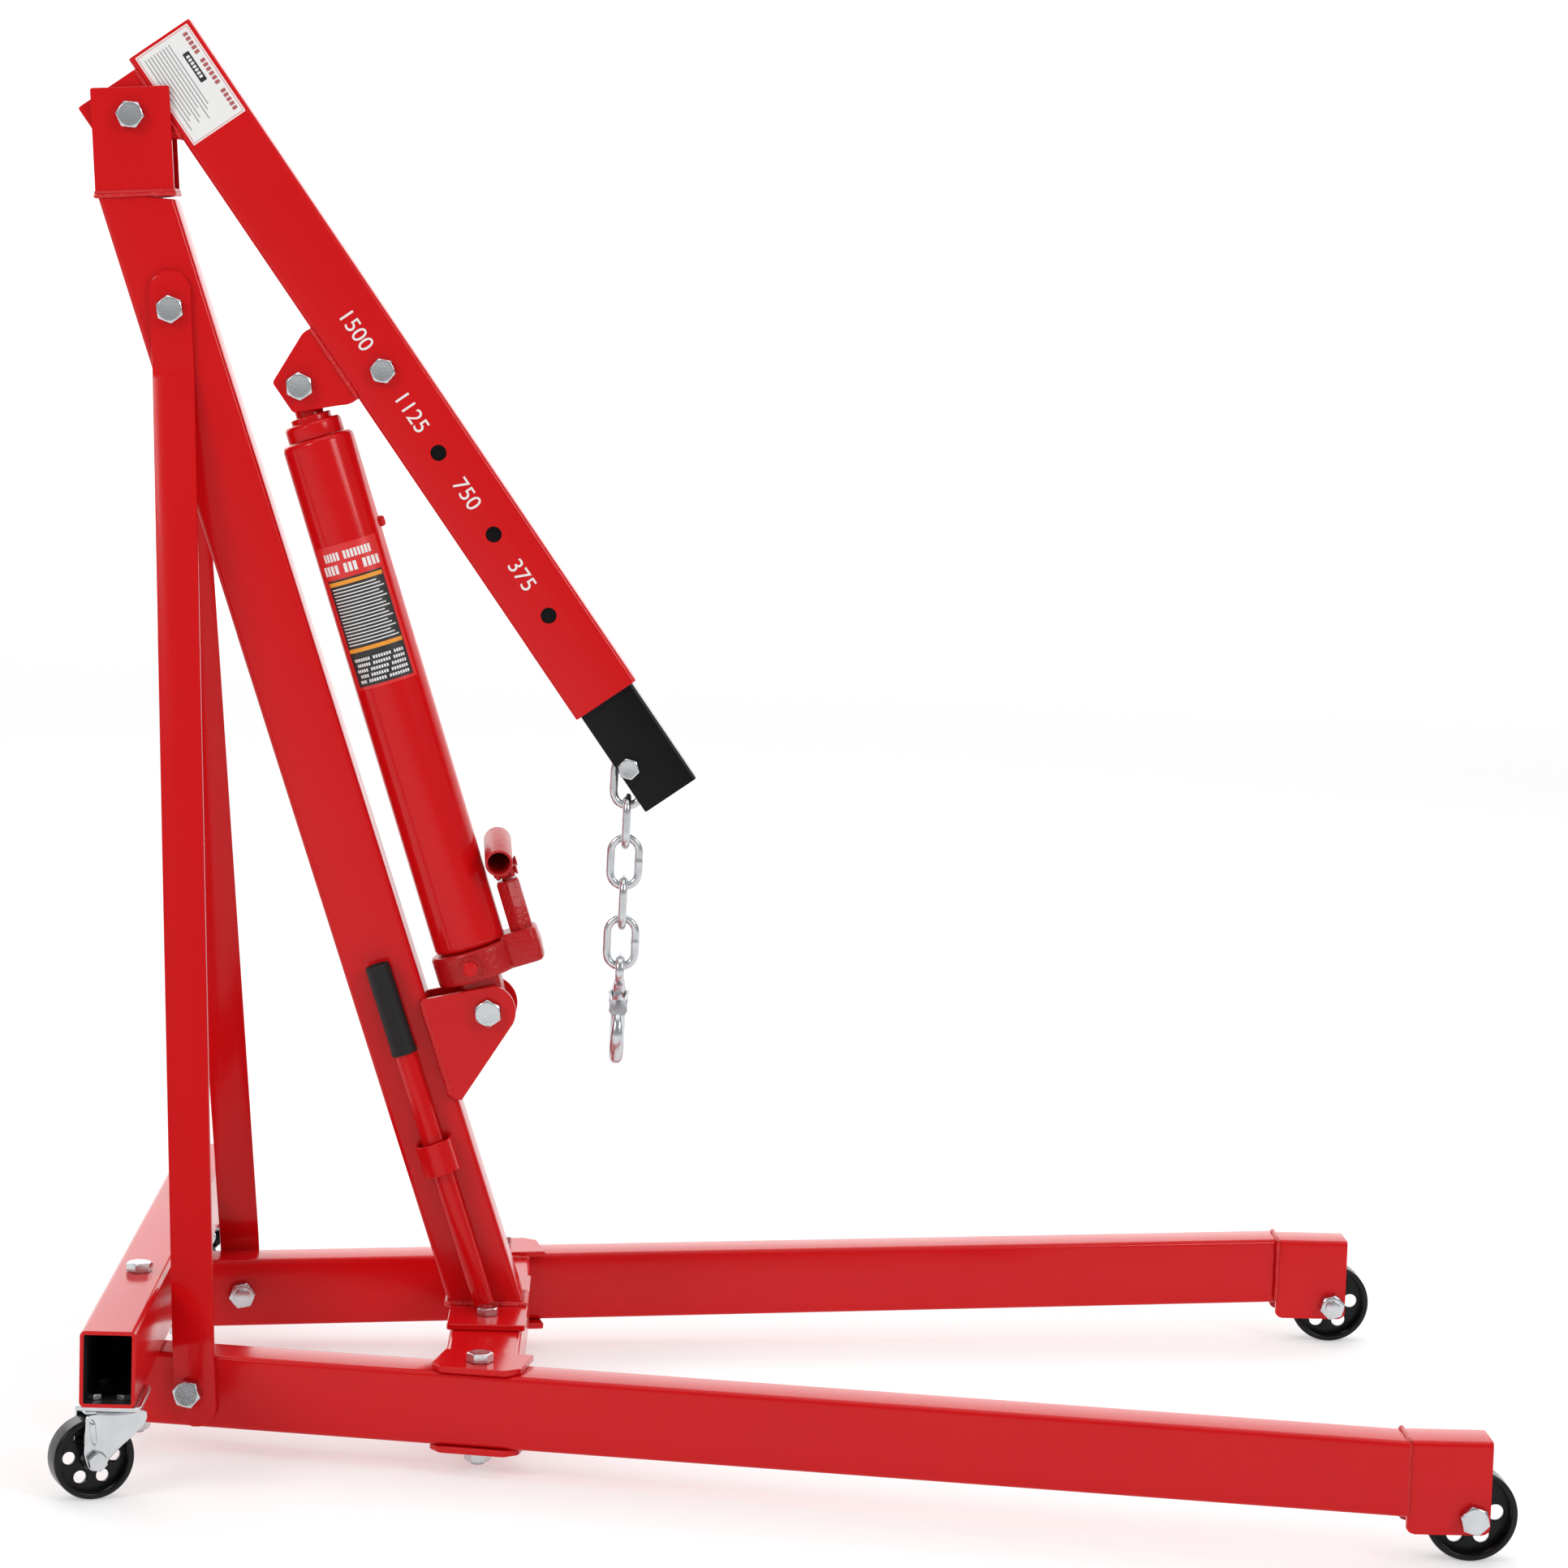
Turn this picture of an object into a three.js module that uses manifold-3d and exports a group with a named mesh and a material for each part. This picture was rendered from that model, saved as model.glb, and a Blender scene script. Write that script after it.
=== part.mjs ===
// Engine hoist crane: a wheeled steel frame with two splayed legs, a leaning mast,
// a telescopic boom raised by a long-ram hydraulic jack, and a chain with a latch hook.
// Units are millimetres. +X points forward along the legs, +Z is up, and +Y is the crane's left.
import * as THREE from 'three';
import { mergeVertices } from 'three/addons/utils/BufferGeometryUtils.js';
import Module from 'manifold-3d';

const wasm = await Module();
wasm.setup();

// ---------- driving dimensions ----------

const GAP = 0.3;                 // air left between touching pieces
const BITE = 0.05;               // how far welded pieces run into each other
const LEFT = 1;
const RIGHT = -1;

// Frame tubes: 70 x 50 rectangular section.
const TUBE_HEIGHT = 70;
const TUBE_WIDTH = 50;
const TUBE_WALL = 3.5;

// The frame plane rises gently towards the front, because the front wheels are larger.
const FRONT_AXLE_X = 1231;
const REAR_FLOOR_HEIGHT = 21.2;  // floor under the casters, in the frame's own level
const CASTER_TRAIL = 20;
const FRAME_RISE = Math.atan2(REAR_FLOOR_HEIGHT, FRONT_AXLE_X + CASTER_TRAIL);

// Legs.
const LEG_BOTTOM = 43;
const LEG_TOP = LEG_BOTTOM + TUBE_HEIGHT;
const LEG_SPACING = 188;         // half the distance between the legs at the rear bolts
const LEG_SPLAY = THREE.MathUtils.degToRad(11.1);
const LEG_REAR_OVERHANG = 34;
const LEG_FRONT_X = 1170;

// Rear beam.
const BEAM_LENGTH = 856;
const BEAM_BOTTOM = LEG_TOP + GAP;
const BEAM_TOP = BEAM_BOTTOM + TUBE_HEIGHT;

// Front wheel brackets and wheels.
const BRACKET_LENGTH = 76;
const BRACKET_WIDTH = 50;
const BRACKET_PLATE = 5;
const BRACKET_BOTTOM = 27;
const BRACKET_Y = 414;
const FRONT_WHEEL = { radius: 42.5, width: 32, hub: 38, bore: 8.7, web: 5, holeRing: 24.3, hole: 7.4 };

// Swivel casters.
const CASTER_Y = 382;
const CASTER_YAW = THREE.MathUtils.degToRad(24);
const CASTER_WHEEL = { radius: 37.5, width: 25, hub: 27, bore: 5.7, web: 5, holeRing: 21, hole: 6 };
const CASTER_AXLE_DROP = BEAM_BOTTOM - REAR_FLOOR_HEIGHT - CASTER_WHEEL.radius;
const CASTER_PLATE = { length: 60, width: 84, thickness: 4 };
const CASTER_CROWN = { radius: 28, top: -8.6, thickness: 3 };
const FORK_INSIDE = 28;
const FORK_PLATE = 3;

// Front cross member.
const CROSS_X = 326;
const CROSS_WIDTH = 70;
const CROSS_WALL = 4;
const PLATE = 6;
const CROSS_BOTTOM = LEG_BOTTOM - GAP;
const CROSS_TOP = LEG_TOP + GAP;
const FOOT_BOLT_Y = 66;

// Mast.
const FOOT_PLATE_LENGTH = 76;
const FOOT_PLATE_WIDTH = 216;
const MAST_FOOT_X = 323;
const MAST_FOOT_Z = CROSS_TOP + GAP + PLATE;
const MAST_LEAN = THREE.MathUtils.degToRad(18.53);
const MAST_DEPTH = 70;
const MAST_WIDTH = 50;
const MAST_WALL = 4;
const MAST_TOP_Z = 1196;
const HEAD_LEAN = THREE.MathUtils.degToRad(3.7);
const HEAD_LENGTH = 75.5;
const HEAD_HEIGHT = 103;
const HEAD_WIDTH = 53;
const HEAD_PLATE = 5;
const BOOM_PIVOT_HEIGHT = 76.5;  // above the foot of the head clevis
const BRACE_TOP_Z = 1088.6;

// Boom, in its own frame: s runs along it from the pivot bolt, n points to its top side.
const BOOM_ANGLE = THREE.MathUtils.degToRad(54.5);   // below level at rest
const BOOM = { width: 40, rear: -45, front: 720, bottom: 27, top: 97, wall: 3.5 };
const BOOM_AXIS_N = (BOOM.bottom + BOOM.top) / 2;
const LOCK_PITCH = 95;
const LOCK_HOLES = [0, 1, 2, 3].map((index) => 335 + index * LOCK_PITCH);
const RAM_PIN = { s: 302.6, n: -13 };
const EXTENSION = { width: 30, rear: 300, front: 833, bottom: 32, top: 92, wall: 3 };
const CHAIN_BOLT = { s: 788, n: 42.6 };

// Jack.
const JACK_FOOT = new THREE.Vector3(318.5, 0, 413.5);
const JACK_BRACKET_RADIUS = 27;
const RESERVOIR_RADIUS = 35.4;
const RESERVOIR_BOTTOM = 63.4;
const RESERVOIR_TOP = 584;
const RAM_RADIUS = 14;
const RAM_EYE_RADIUS = 19;
const PUMP_X = 53;               // pump axis, ahead of the jack axis
const PUMP_TOP = 116.8;
const SOCKET = { pivotY: 20, pivotZ: 130, reach: 26, outer: 13.5, inner: 10.9, length: 76 };
const SOCKET_TILT = THREE.MathUtils.degToRad(11);

// Stored pump handle.
const HANDLE_RADIUS = 10.4;
const HANDLE_WALL = 2;
const HANDLE_LENGTH = 350;
const HANDLE_Y = -38;
const GRIP = { radius: 12.2, start: 266, end: 358 };
const CLIP_HEIGHT = 158;

// Chain and hook.
const WIRE = 4.1;                // radius of the link wire
const LINK_BEND = 9.7;           // inside radius of a link's ends
const LINK_INSIDE = 40.3;        // inside length of a link
const CHAIN_PITCH = LINK_INSIDE - GAP;
const HOOK = { eye: 8.5, eyeWall: 8, drop: 57.5, bowl: 17, thickness: 15 };

// Bolts: shank radius, distance across the flats, head and nut heights.
const M10 = { shank: 5, flats: 16, head: 6.4, nut: 8 };
const M12 = { shank: 6, flats: 19, head: 7.5, nut: 10 };
const M14 = { shank: 7, flats: 22, head: 8.8, nut: 11.5 };
const M16 = { shank: 8, flats: 24, head: 10, nut: 13 };
const HOLE_CLEARANCE = 0.6;

// ---------- materials ----------

const redPaint = new THREE.MeshStandardMaterial({ color: 0xd8171c, roughness: 0.25, metalness: 0.0 });
const blackPaint = new THREE.MeshStandardMaterial({ color: 0x141416, roughness: 0.3, metalness: 0.1 });
const blackWheel = new THREE.MeshStandardMaterial({ color: 0x101012, roughness: 0.45, metalness: 0.0 });
const zinc = new THREE.MeshStandardMaterial({ color: 0xc4c9cb, roughness: 0.35, metalness: 0.9 });
const rubber = new THREE.MeshStandardMaterial({ color: 0x18191b, roughness: 0.85, metalness: 0.0 });

// ---------- geometry helpers ----------

// Signed volume of a closed triangle mesh.
function signedVolume(geometry) {
  const position = geometry.getAttribute('position');
  const index = geometry.getIndex();
  const [a, b, c] = [new THREE.Vector3(), new THREE.Vector3(), new THREE.Vector3()];
  let sum = 0;
  for (let i = 0; i < index.count; i += 3) {
    a.fromBufferAttribute(position, index.getX(i));
    b.fromBufferAttribute(position, index.getX(i + 1));
    c.fromBufferAttribute(position, index.getX(i + 2));
    sum += a.dot(b.cross(c)) / 6;
  }
  return sum;
}

// A closed geometry as a solid that can be joined and cut.
function toSolid(geometry) {
  const bare = geometry.clone();
  bare.deleteAttribute('normal');
  bare.deleteAttribute('uv');
  const merged = mergeVertices(bare, 1e-4);
  const triangles = Uint32Array.from(merged.getIndex().array);
  if (signedVolume(merged) < 0) {
    for (let i = 0; i < triangles.length; i += 3) {
      [triangles[i + 1], triangles[i + 2]] = [triangles[i + 2], triangles[i + 1]];
    }
  }
  const vertices = Float32Array.from(merged.getAttribute('position').array);
  return new wasm.Manifold(new wasm.Mesh({ numProp: 3, vertProperties: vertices, triVerts: triangles }));
}

function toGeometry(solid) {
  const mesh = solid.getMesh();
  const geometry = new THREE.BufferGeometry();
  geometry.setAttribute('position', new THREE.BufferAttribute(mesh.vertProperties, 3));
  geometry.setIndex(new THREE.BufferAttribute(mesh.triVerts, 1));
  geometry.computeVertexNormals();
  return geometry;
}

// One geometry out of several that overlap.
function join(...geometries) {
  return toGeometry(geometries.map(toSolid).reduce((sum, next) => sum.add(next)));
}

// A geometry with the tools cut out of it.
function cut(body, ...tools) {
  return toGeometry(tools.map(toSolid).reduce((rest, tool) => rest.subtract(tool), toSolid(body)));
}

function block(x0, x1, y0, y1, z0, z1) {
  const geometry = new THREE.BoxGeometry(x1 - x0, y1 - y0, z1 - z0);
  return geometry.translate((x0 + x1) / 2, (y0 + y1) / 2, (z0 + z1) / 2);
}

function outline(points) {
  return new THREE.Shape(points.map(([x, y]) => new THREE.Vector2(x, y)));
}

// A plan outline in XY, raised from z0 to z1.
function prismZ(points, z0, z1) {
  const geometry = new THREE.ExtrudeGeometry(outline(points), { depth: z1 - z0, bevelEnabled: false });
  return geometry.translate(0, 0, z0);
}

// A side outline in XZ, spread from y0 to y1.
function prismY(points, y0, y1) {
  const geometry = new THREE.ExtrudeGeometry(outline(points), { depth: y1 - y0, bevelEnabled: false });
  return geometry.rotateX(Math.PI / 2).translate(0, y1, 0);
}

// Round bars along the axes. facets is the number of sides.
function rodZ(radius, z0, z1, x = 0, y = 0, facets = 12) {
  const geometry = new THREE.CylinderGeometry(radius, radius, z1 - z0, facets);
  return geometry.rotateX(Math.PI / 2).translate(x, y, (z0 + z1) / 2);
}

function rodY(radius, y0, y1, x = 0, z = 0, facets = 12) {
  const geometry = new THREE.CylinderGeometry(radius, radius, y1 - y0, facets);
  return geometry.translate(x, (y0 + y1) / 2, z);
}

function rodX(radius, x0, x1, y = 0, z = 0, facets = 12) {
  const geometry = new THREE.CylinderGeometry(radius, radius, x1 - x0, facets);
  return geometry.rotateZ(Math.PI / 2).translate((x0 + x1) / 2, y, z);
}

// Points on an arc, both ends included; angles in radians.
function arc(cx, cy, radius, from, to, steps) {
  return Array.from({ length: steps + 1 }, (_, i) => {
    const angle = from + (to - from) * i / steps;
    return [cx + radius * Math.cos(angle), cy + radius * Math.sin(angle)];
  });
}

// The angle, seen from a circle's centre, where a line from an outside point touches it.
function tangentAngle([px, py], [cx, cy], radius, side) {
  const distance = Math.hypot(px - cx, py - cy);
  return Math.atan2(py - cy, px - cx) + side * Math.acos(radius / distance);
}

// A bolt along Z with its nut: the head sits on z = 0 and the nut under z = -grip.
function boltGeometry(size, grip, tail = 3) {
  const hexRadius = size.flats / Math.sqrt(3);
  const head = rodZ(hexRadius, GAP, GAP + size.head, 0, 0, 6);
  const nut = rodZ(hexRadius, -grip - GAP - size.nut, -grip - GAP, 0, 0, 6);
  const shank = rodZ(size.shank, -grip - GAP - size.nut - tail, GAP + size.head / 2, 0, 0, 12);
  return join(head, nut, shank);
}

// The same bolt along Y. side is RIGHT or LEFT, where the head is.
function crossBolt(size, halfGrip, side, x, z) {
  const geometry = boltGeometry(size, 2 * halfGrip);
  geometry.rotateX(-side * Math.PI / 2);
  return geometry.translate(x, side * halfGrip, z);
}

// ---------- scene helpers ----------

const crane = new THREE.Group();
crane.rotation.y = -FRAME_RISE;

function group(parent, x, y, z, name) {
  const node = new THREE.Group();
  node.name = name;
  node.position.set(x, y, z);
  parent.add(node);
  return node;
}

function part(parent, name, geometry, material) {
  const mesh = new THREE.Mesh(geometry, material);
  mesh.name = name;
  parent.add(mesh);
  return mesh;
}

const sideName = (side) => (side === LEFT ? 'left' : 'right');
const legCentreY = (x) => LEG_SPACING + x * Math.tan(LEG_SPLAY);
const legHalfWidthY = TUBE_WIDTH / 2 / Math.cos(LEG_SPLAY);
const mastCentreX = (z) => MAST_FOOT_X - (z - MAST_FOOT_Z) * Math.tan(MAST_LEAN);

// ---------- base frame ----------

const CASTER_BOLTS = [[-13.6, -27], [13.6, -27], [-13.6, 27], [13.6, 27]];   // about the caster's centre
const BRACE_FOOT_X = 58.8;
const BRACE_FOOT_Z = LEG_BOTTOM + TUBE_HEIGHT / 2;

// A group at a point of a leg's centre line, with its x axis along the leg.
function legFrame(side, x) {
  const frame = group(crane, x, side * legCentreY(x), 0, `leg_frame_${sideName(side)}_${Math.round(x)}`);
  frame.rotation.z = side * LEG_SPLAY;
  return frame;
}

// Rear beam: an open-ended tube across the legs, bolted on top of them.
function rearBeam() {
  const half = BEAM_LENGTH / 2;
  const outside = block(-TUBE_WIDTH / 2, TUBE_WIDTH / 2, -half, half, BEAM_BOTTOM, BEAM_TOP);
  const inX = TUBE_WIDTH / 2 - TUBE_WALL;
  const inside = block(-inX, inX, -half - 1, half + 1, BEAM_BOTTOM + TUBE_WALL, BEAM_TOP - TUBE_WALL);
  const holes = [];
  for (const side of [LEFT, RIGHT]) {
    holes.push(rodZ(M14.shank + HOLE_CLEARANCE, BEAM_BOTTOM - 1, BEAM_TOP + 1, 0, side * LEG_SPACING));
    for (const [dx, dy] of CASTER_BOLTS) {
      const z1 = BEAM_BOTTOM + TUBE_WALL + 1;
      holes.push(rodZ(4 + HOLE_CLEARANCE, BEAM_BOTTOM - 1, z1, dx, side * CASTER_Y + dy, 8));
    }
  }
  part(crane, 'rear_cross_beam', cut(outside, inside, ...holes), redPaint);
}

// Leg: a tube that splays outward to the front, with its front end cut square to the wheels.
function leg(side) {
  const frame = legFrame(side, 0);
  const length = (y) => (LEG_FRONT_X + side * y * Math.sin(LEG_SPLAY)) / Math.cos(LEG_SPLAY);
  const plan = (half, reach) => [
    [-LEG_REAR_OVERHANG - reach, -half],
    [length(-half) + reach, -half],
    [length(half) + reach, half],
    [-LEG_REAR_OVERHANG - reach, half],
  ];
  const half = TUBE_WIDTH / 2;
  const body = prismZ(plan(half, 0), LEG_BOTTOM, LEG_TOP);
  const bore = prismZ(plan(half - TUBE_WALL, 5), LEG_BOTTOM + TUBE_WALL, LEG_TOP - TUBE_WALL);
  const along = (x) => x / Math.cos(LEG_SPLAY);
  const uprightHole = (x) => rodZ(M14.shank + HOLE_CLEARANCE, LEG_BOTTOM - 1, LEG_TOP + 1, along(x), 0);
  const braceHole = rodY(M16.shank + HOLE_CLEARANCE, -half - 1, half + 1, along(BRACE_FOOT_X), BRACE_FOOT_Z);
  const holes = [uprightHole(0), uprightHole(CROSS_X), braceHole];
  part(frame, `leg_${sideName(side)}`, cut(body, bore, ...holes), redPaint);
}

// Wheel bracket: an inverted channel on the front end of each leg.
function wheelBracket(side) {
  const frame = group(crane, LEG_FRONT_X + GAP, side * BRACKET_Y, 0, '');
  const corner = 9;
  const sideOutline = [
    [0, LEG_TOP],
    ...arc(corner, BRACKET_BOTTOM + corner, corner, Math.PI, 1.5 * Math.PI, 4),
    ...arc(BRACKET_LENGTH - corner, BRACKET_BOTTOM + corner, corner, -Math.PI / 2, 0, 4),
    [BRACKET_LENGTH, LEG_TOP],
  ];
  const half = BRACKET_WIDTH / 2;
  const inside = half - BRACKET_PLATE;
  const body = prismY(sideOutline, -half, half);
  const channel = block(-1, BRACKET_LENGTH + 1, -inside, inside, 0, LEG_TOP - BRACKET_PLATE);
  const axleX = FRONT_AXLE_X - LEG_FRONT_X - GAP;
  const hole = rodY(M16.shank + HOLE_CLEARANCE, -half - 1, half + 1, axleX, FRONT_WHEEL.radius);
  part(frame, `wheel_bracket_${sideName(side)}`, cut(body, channel, hole), redPaint);

  const wheelCentre = group(frame, axleX, 0, FRONT_WHEEL.radius, `front_wheel_centre_${sideName(side)}`);
  part(wheelCentre, `front_wheel_${sideName(side)}`, wheelGeometry(FRONT_WHEEL), blackWheel);
  part(wheelCentre, `front_axle_bolt_${sideName(side)}`, crossBolt(M16, half, side, 0, 0), zinc);
}

// A cast wheel about the Y axis: hub, thin web with six holes, and a flanged rim.
function wheelGeometry(wheel) {
  const rim = wheel.width / 2;
  const hub = wheel.hub / 2;
  const web = wheel.web / 2;
  const hubRadius = wheel.bore + 5.5;
  const rimInside = wheel.radius - 6;
  const profile = [
    [wheel.bore, -hub], [hubRadius, -hub], [hubRadius, -web], [rimInside - 2, -web],
    [rimInside, -rim], [wheel.radius, -rim], [wheel.radius, rim], [rimInside, rim],
    [rimInside - 2, web], [hubRadius, web], [hubRadius, hub], [wheel.bore, hub], [wheel.bore, -hub],
  ];
  const body = new THREE.LatheGeometry(profile.map(([r, y]) => new THREE.Vector2(r, y)), 20);
  const holes = arc(0, 0, wheel.holeRing, 0, 2 * Math.PI, 6).slice(1);
  return cut(body, ...holes.map(([x, z]) => rodY(wheel.hole, -hub, hub, x, z, 6)));
}

// Front cross member: a square tube between the legs, with plates that clamp each leg.
function frontCrossMember() {
  const half = CROSS_WIDTH / 2;
  const endY = (x) => legCentreY(x) - legHalfWidthY - GAP;
  const plan = (inset, reach) => {
    const [x0, x1] = [CROSS_X - half + inset, CROSS_X + half - inset];
    return [[x0, -endY(x0) - reach], [x1, -endY(x1) - reach], [x1, endY(x1) + reach], [x0, endY(x0) + reach]];
  };
  const tube = prismZ(plan(0, 0), CROSS_BOTTOM, CROSS_TOP);
  const bore = prismZ(plan(CROSS_WALL, 5), CROSS_BOTTOM + CROSS_WALL, CROSS_TOP - CROSS_WALL);
  const plates = [];
  const holes = [];
  for (const side of [LEFT, RIGHT]) {
    const levels = [[CROSS_BOTTOM - PLATE, CROSS_BOTTOM + BITE], [CROSS_TOP - BITE, CROSS_TOP + PLATE]];
    for (const [z0, z1] of levels) {
      const plate = prismZ([[-43, -40], [43, -40], [43, 16], [31, 28], [-31, 28], [-43, 16]], z0, z1);
      if (side === RIGHT) plate.rotateX(Math.PI).translate(0, 0, z0 + z1);
      plate.rotateZ(side * LEG_SPLAY).translate(CROSS_X, side * legCentreY(CROSS_X), 0);
      plates.push(plate);
    }
    const z1 = CROSS_TOP + PLATE + 1;
    const clampRadius = M14.shank + HOLE_CLEARANCE;
    holes.push(rodZ(clampRadius, CROSS_BOTTOM - PLATE - 1, z1, CROSS_X, side * legCentreY(CROSS_X)));
    holes.push(rodZ(M12.shank + HOLE_CLEARANCE, CROSS_BOTTOM - 1, z1, CROSS_X, side * FOOT_BOLT_Y));
  }
  part(crane, 'front_cross_member', cut(join(cut(tube, bore), ...plates), ...holes), redPaint);
}

// The upright bolts of the base.
function baseBolts() {
  for (const side of [LEFT, RIGHT]) {
    const beamBolt = boltGeometry(M14, BEAM_TOP - LEG_BOTTOM, 2).translate(0, side * LEG_SPACING, BEAM_TOP);
    part(crane, `beam_bolt_${sideName(side)}`, beamBolt, zinc);
    const clamp = boltGeometry(M14, CROSS_TOP - CROSS_BOTTOM + 2 * PLATE);
    clamp.translate(CROSS_X, side * legCentreY(CROSS_X), CROSS_TOP + PLATE);
    part(crane, `clamp_bolt_${sideName(side)}`, clamp, zinc);
    const footBolt = boltGeometry(M12, MAST_FOOT_Z - CROSS_BOTTOM);
    footBolt.translate(CROSS_X, side * FOOT_BOLT_Y, MAST_FOOT_Z);
    part(crane, `foot_bolt_${sideName(side)}`, footBolt, zinc);
  }
}

// ---------- casters ----------

// Fixed half of a caster: top plate with its four bolts, ball race and king pin.
function casterPlate(side, frame) {
  const { length, width, thickness } = CASTER_PLATE;
  const plate = block(-length / 2, length / 2, -width / 2, width / 2, -thickness - GAP, -GAP);
  const race = rodZ(23, CASTER_CROWN.top + GAP, -thickness, 0, 0, 16);
  const kingPin = rodZ(5, -16, -thickness, 0, 0, 12);
  const kingNut = rodZ(8, -16, CASTER_CROWN.top - CASTER_CROWN.thickness - GAP, 0, 0, 12);
  const bolts = CASTER_BOLTS.map(([x, y]) => {
    const shank = rodZ(4, -thickness, TUBE_WALL + 3, x, y, 8);
    const head = rodZ(7.5, TUBE_WALL + GAP, TUBE_WALL + GAP + 5.3, x, y, 6);
    return join(shank, head);
  });
  part(frame, `caster_plate_${sideName(side)}`, join(plate, race, kingPin, kingNut, ...bolts), zinc);
}

// Swivelling half: crown, two tapering side plates, wheel and axle bolt. It trails to -X.
function casterFork(side, frame) {
  const swivel = group(frame, 0, 0, 0, `caster_swivel_${sideName(side)}`);
  swivel.rotation.z = side * CASTER_YAW * -1;
  const crownBottom = CASTER_CROWN.top - CASTER_CROWN.thickness;
  const axle = [-CASTER_TRAIL, -CASTER_AXLE_DROP];
  const tip = 11;
  const frontTop = [27, crownBottom + 1];
  const touch = tangentAngle(frontTop, axle, tip, -1);
  const cheekOutline = [
    [-31, crownBottom + 1],
    ...arc(...axle, tip, Math.PI, touch + 2 * Math.PI, 6),
    frontTop,
  ];
  const inside = FORK_INSIDE / 2;
  const outside = inside + FORK_PLATE;
  const cheeks = [[-outside, -inside], [inside, outside]].map(([y0, y1]) => prismY(cheekOutline, y0, y1));
  const crown = rodZ(CASTER_CROWN.radius, crownBottom, CASTER_CROWN.top, 0, 0, 16);
  const shoulder = block(-31, 0, -outside, outside, crownBottom, CASTER_CROWN.top);
  const kingHole = rodZ(5.6, crownBottom - 1, CASTER_CROWN.top + 1, 0, 0, 12);
  const axleHole = rodY(M10.shank + HOLE_CLEARANCE, -outside - 1, outside + 1, ...axle);
  const fork = cut(join(crown, shoulder, ...cheeks), kingHole, axleHole);
  part(swivel, `caster_fork_${sideName(side)}`, fork, zinc);

  const hub = group(swivel, axle[0], 0, axle[1], `caster_wheel_centre_${sideName(side)}`);
  part(hub, `caster_wheel_${sideName(side)}`, wheelGeometry(CASTER_WHEEL), blackWheel);
  part(hub, `caster_axle_${sideName(side)}`, crossBolt(M10, outside, side, 0, 0), zinc);
}

function caster(side) {
  const frame = group(crane, 0, side * CASTER_Y, BEAM_BOTTOM, '');
  casterPlate(side, frame);
  casterFork(side, frame);
}

// ---------- mast and braces ----------

// Mast: a tube leaning to the rear, welded to the foot plate that bolts on the cross member.
function mast() {
  const slope = MAST_DEPTH / 2 / Math.cos(MAST_LEAN);
  const topZ = (x) => MAST_TOP_Z + (x - mastCentreX(MAST_TOP_Z)) * Math.tan(HEAD_LEAN);
  const side = (halfX, bottom, extra) => {
    const [xr, xf] = [mastCentreX(MAST_TOP_Z) - halfX, mastCentreX(MAST_TOP_Z) + halfX];
    const foot = mastCentreX(bottom);
    const shift = extra * Math.tan(MAST_LEAN);
    return [[foot - halfX, bottom], [foot + halfX, bottom],
      [xf - shift, topZ(xf) + extra], [xr - shift, topZ(xr) + extra]];
  };
  const tube = prismY(side(slope, MAST_FOOT_Z - 2, 0), -MAST_WIDTH / 2, MAST_WIDTH / 2);
  const wallX = MAST_WALL / Math.cos(MAST_LEAN);
  const inY = MAST_WIDTH / 2 - MAST_WALL;
  const bore = prismY(side(slope - wallX, MAST_FOOT_Z, 20), -inY, inY);
  const halfLength = FOOT_PLATE_LENGTH / 2;
  const halfWidth = FOOT_PLATE_WIDTH / 2;
  const foot = block(CROSS_X - halfLength, CROSS_X + halfLength, -halfWidth, halfWidth,
    MAST_FOOT_Z - PLATE, MAST_FOOT_Z);
  const footHoles = [LEFT, RIGHT].map((s) =>
    rodZ(M12.shank + HOLE_CLEARANCE, MAST_FOOT_Z - PLATE - 1, MAST_FOOT_Z + 1, CROSS_X, s * FOOT_BOLT_Y));
  const braceHole = rodY(M16.shank + HOLE_CLEARANCE, -30, 30, mastCentreX(BRACE_TOP_Z), BRACE_TOP_Z);
  part(crane, 'mast', cut(join(tube, foot), bore, braceHole, ...footHoles), redPaint);
}

// Head clevis: a channel welded on the mast's top, whose two plates carry the boom's pivot bolt.
function headClevis() {
  const frame = group(crane, mastCentreX(MAST_TOP_Z), 0, MAST_TOP_Z, 'head_clevis');
  frame.rotation.y = -HEAD_LEAN;
  const half = HEAD_LENGTH / 2;
  const out = HEAD_WIDTH / 2;
  const body = block(-half, half, -out, out, GAP, HEAD_HEIGHT);
  const slot = block(-half - 1, half + 1, -out + HEAD_PLATE, out - HEAD_PLATE, HEAD_PLATE, HEAD_HEIGHT + 1);
  const hole = rodY(M16.shank + HOLE_CLEARANCE, -out - 1, out + 1, 0, BOOM_PIVOT_HEIGHT);
  part(frame, 'mast_head_clevis', cut(body, slot, hole), redPaint);
  part(frame, 'boom_pivot_bolt', crossBolt(M16, out, RIGHT, 0, BOOM_PIVOT_HEIGHT), zinc);
  return group(frame, 0, 0, BOOM_PIVOT_HEIGHT, 'boom_pivot');
}

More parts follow.
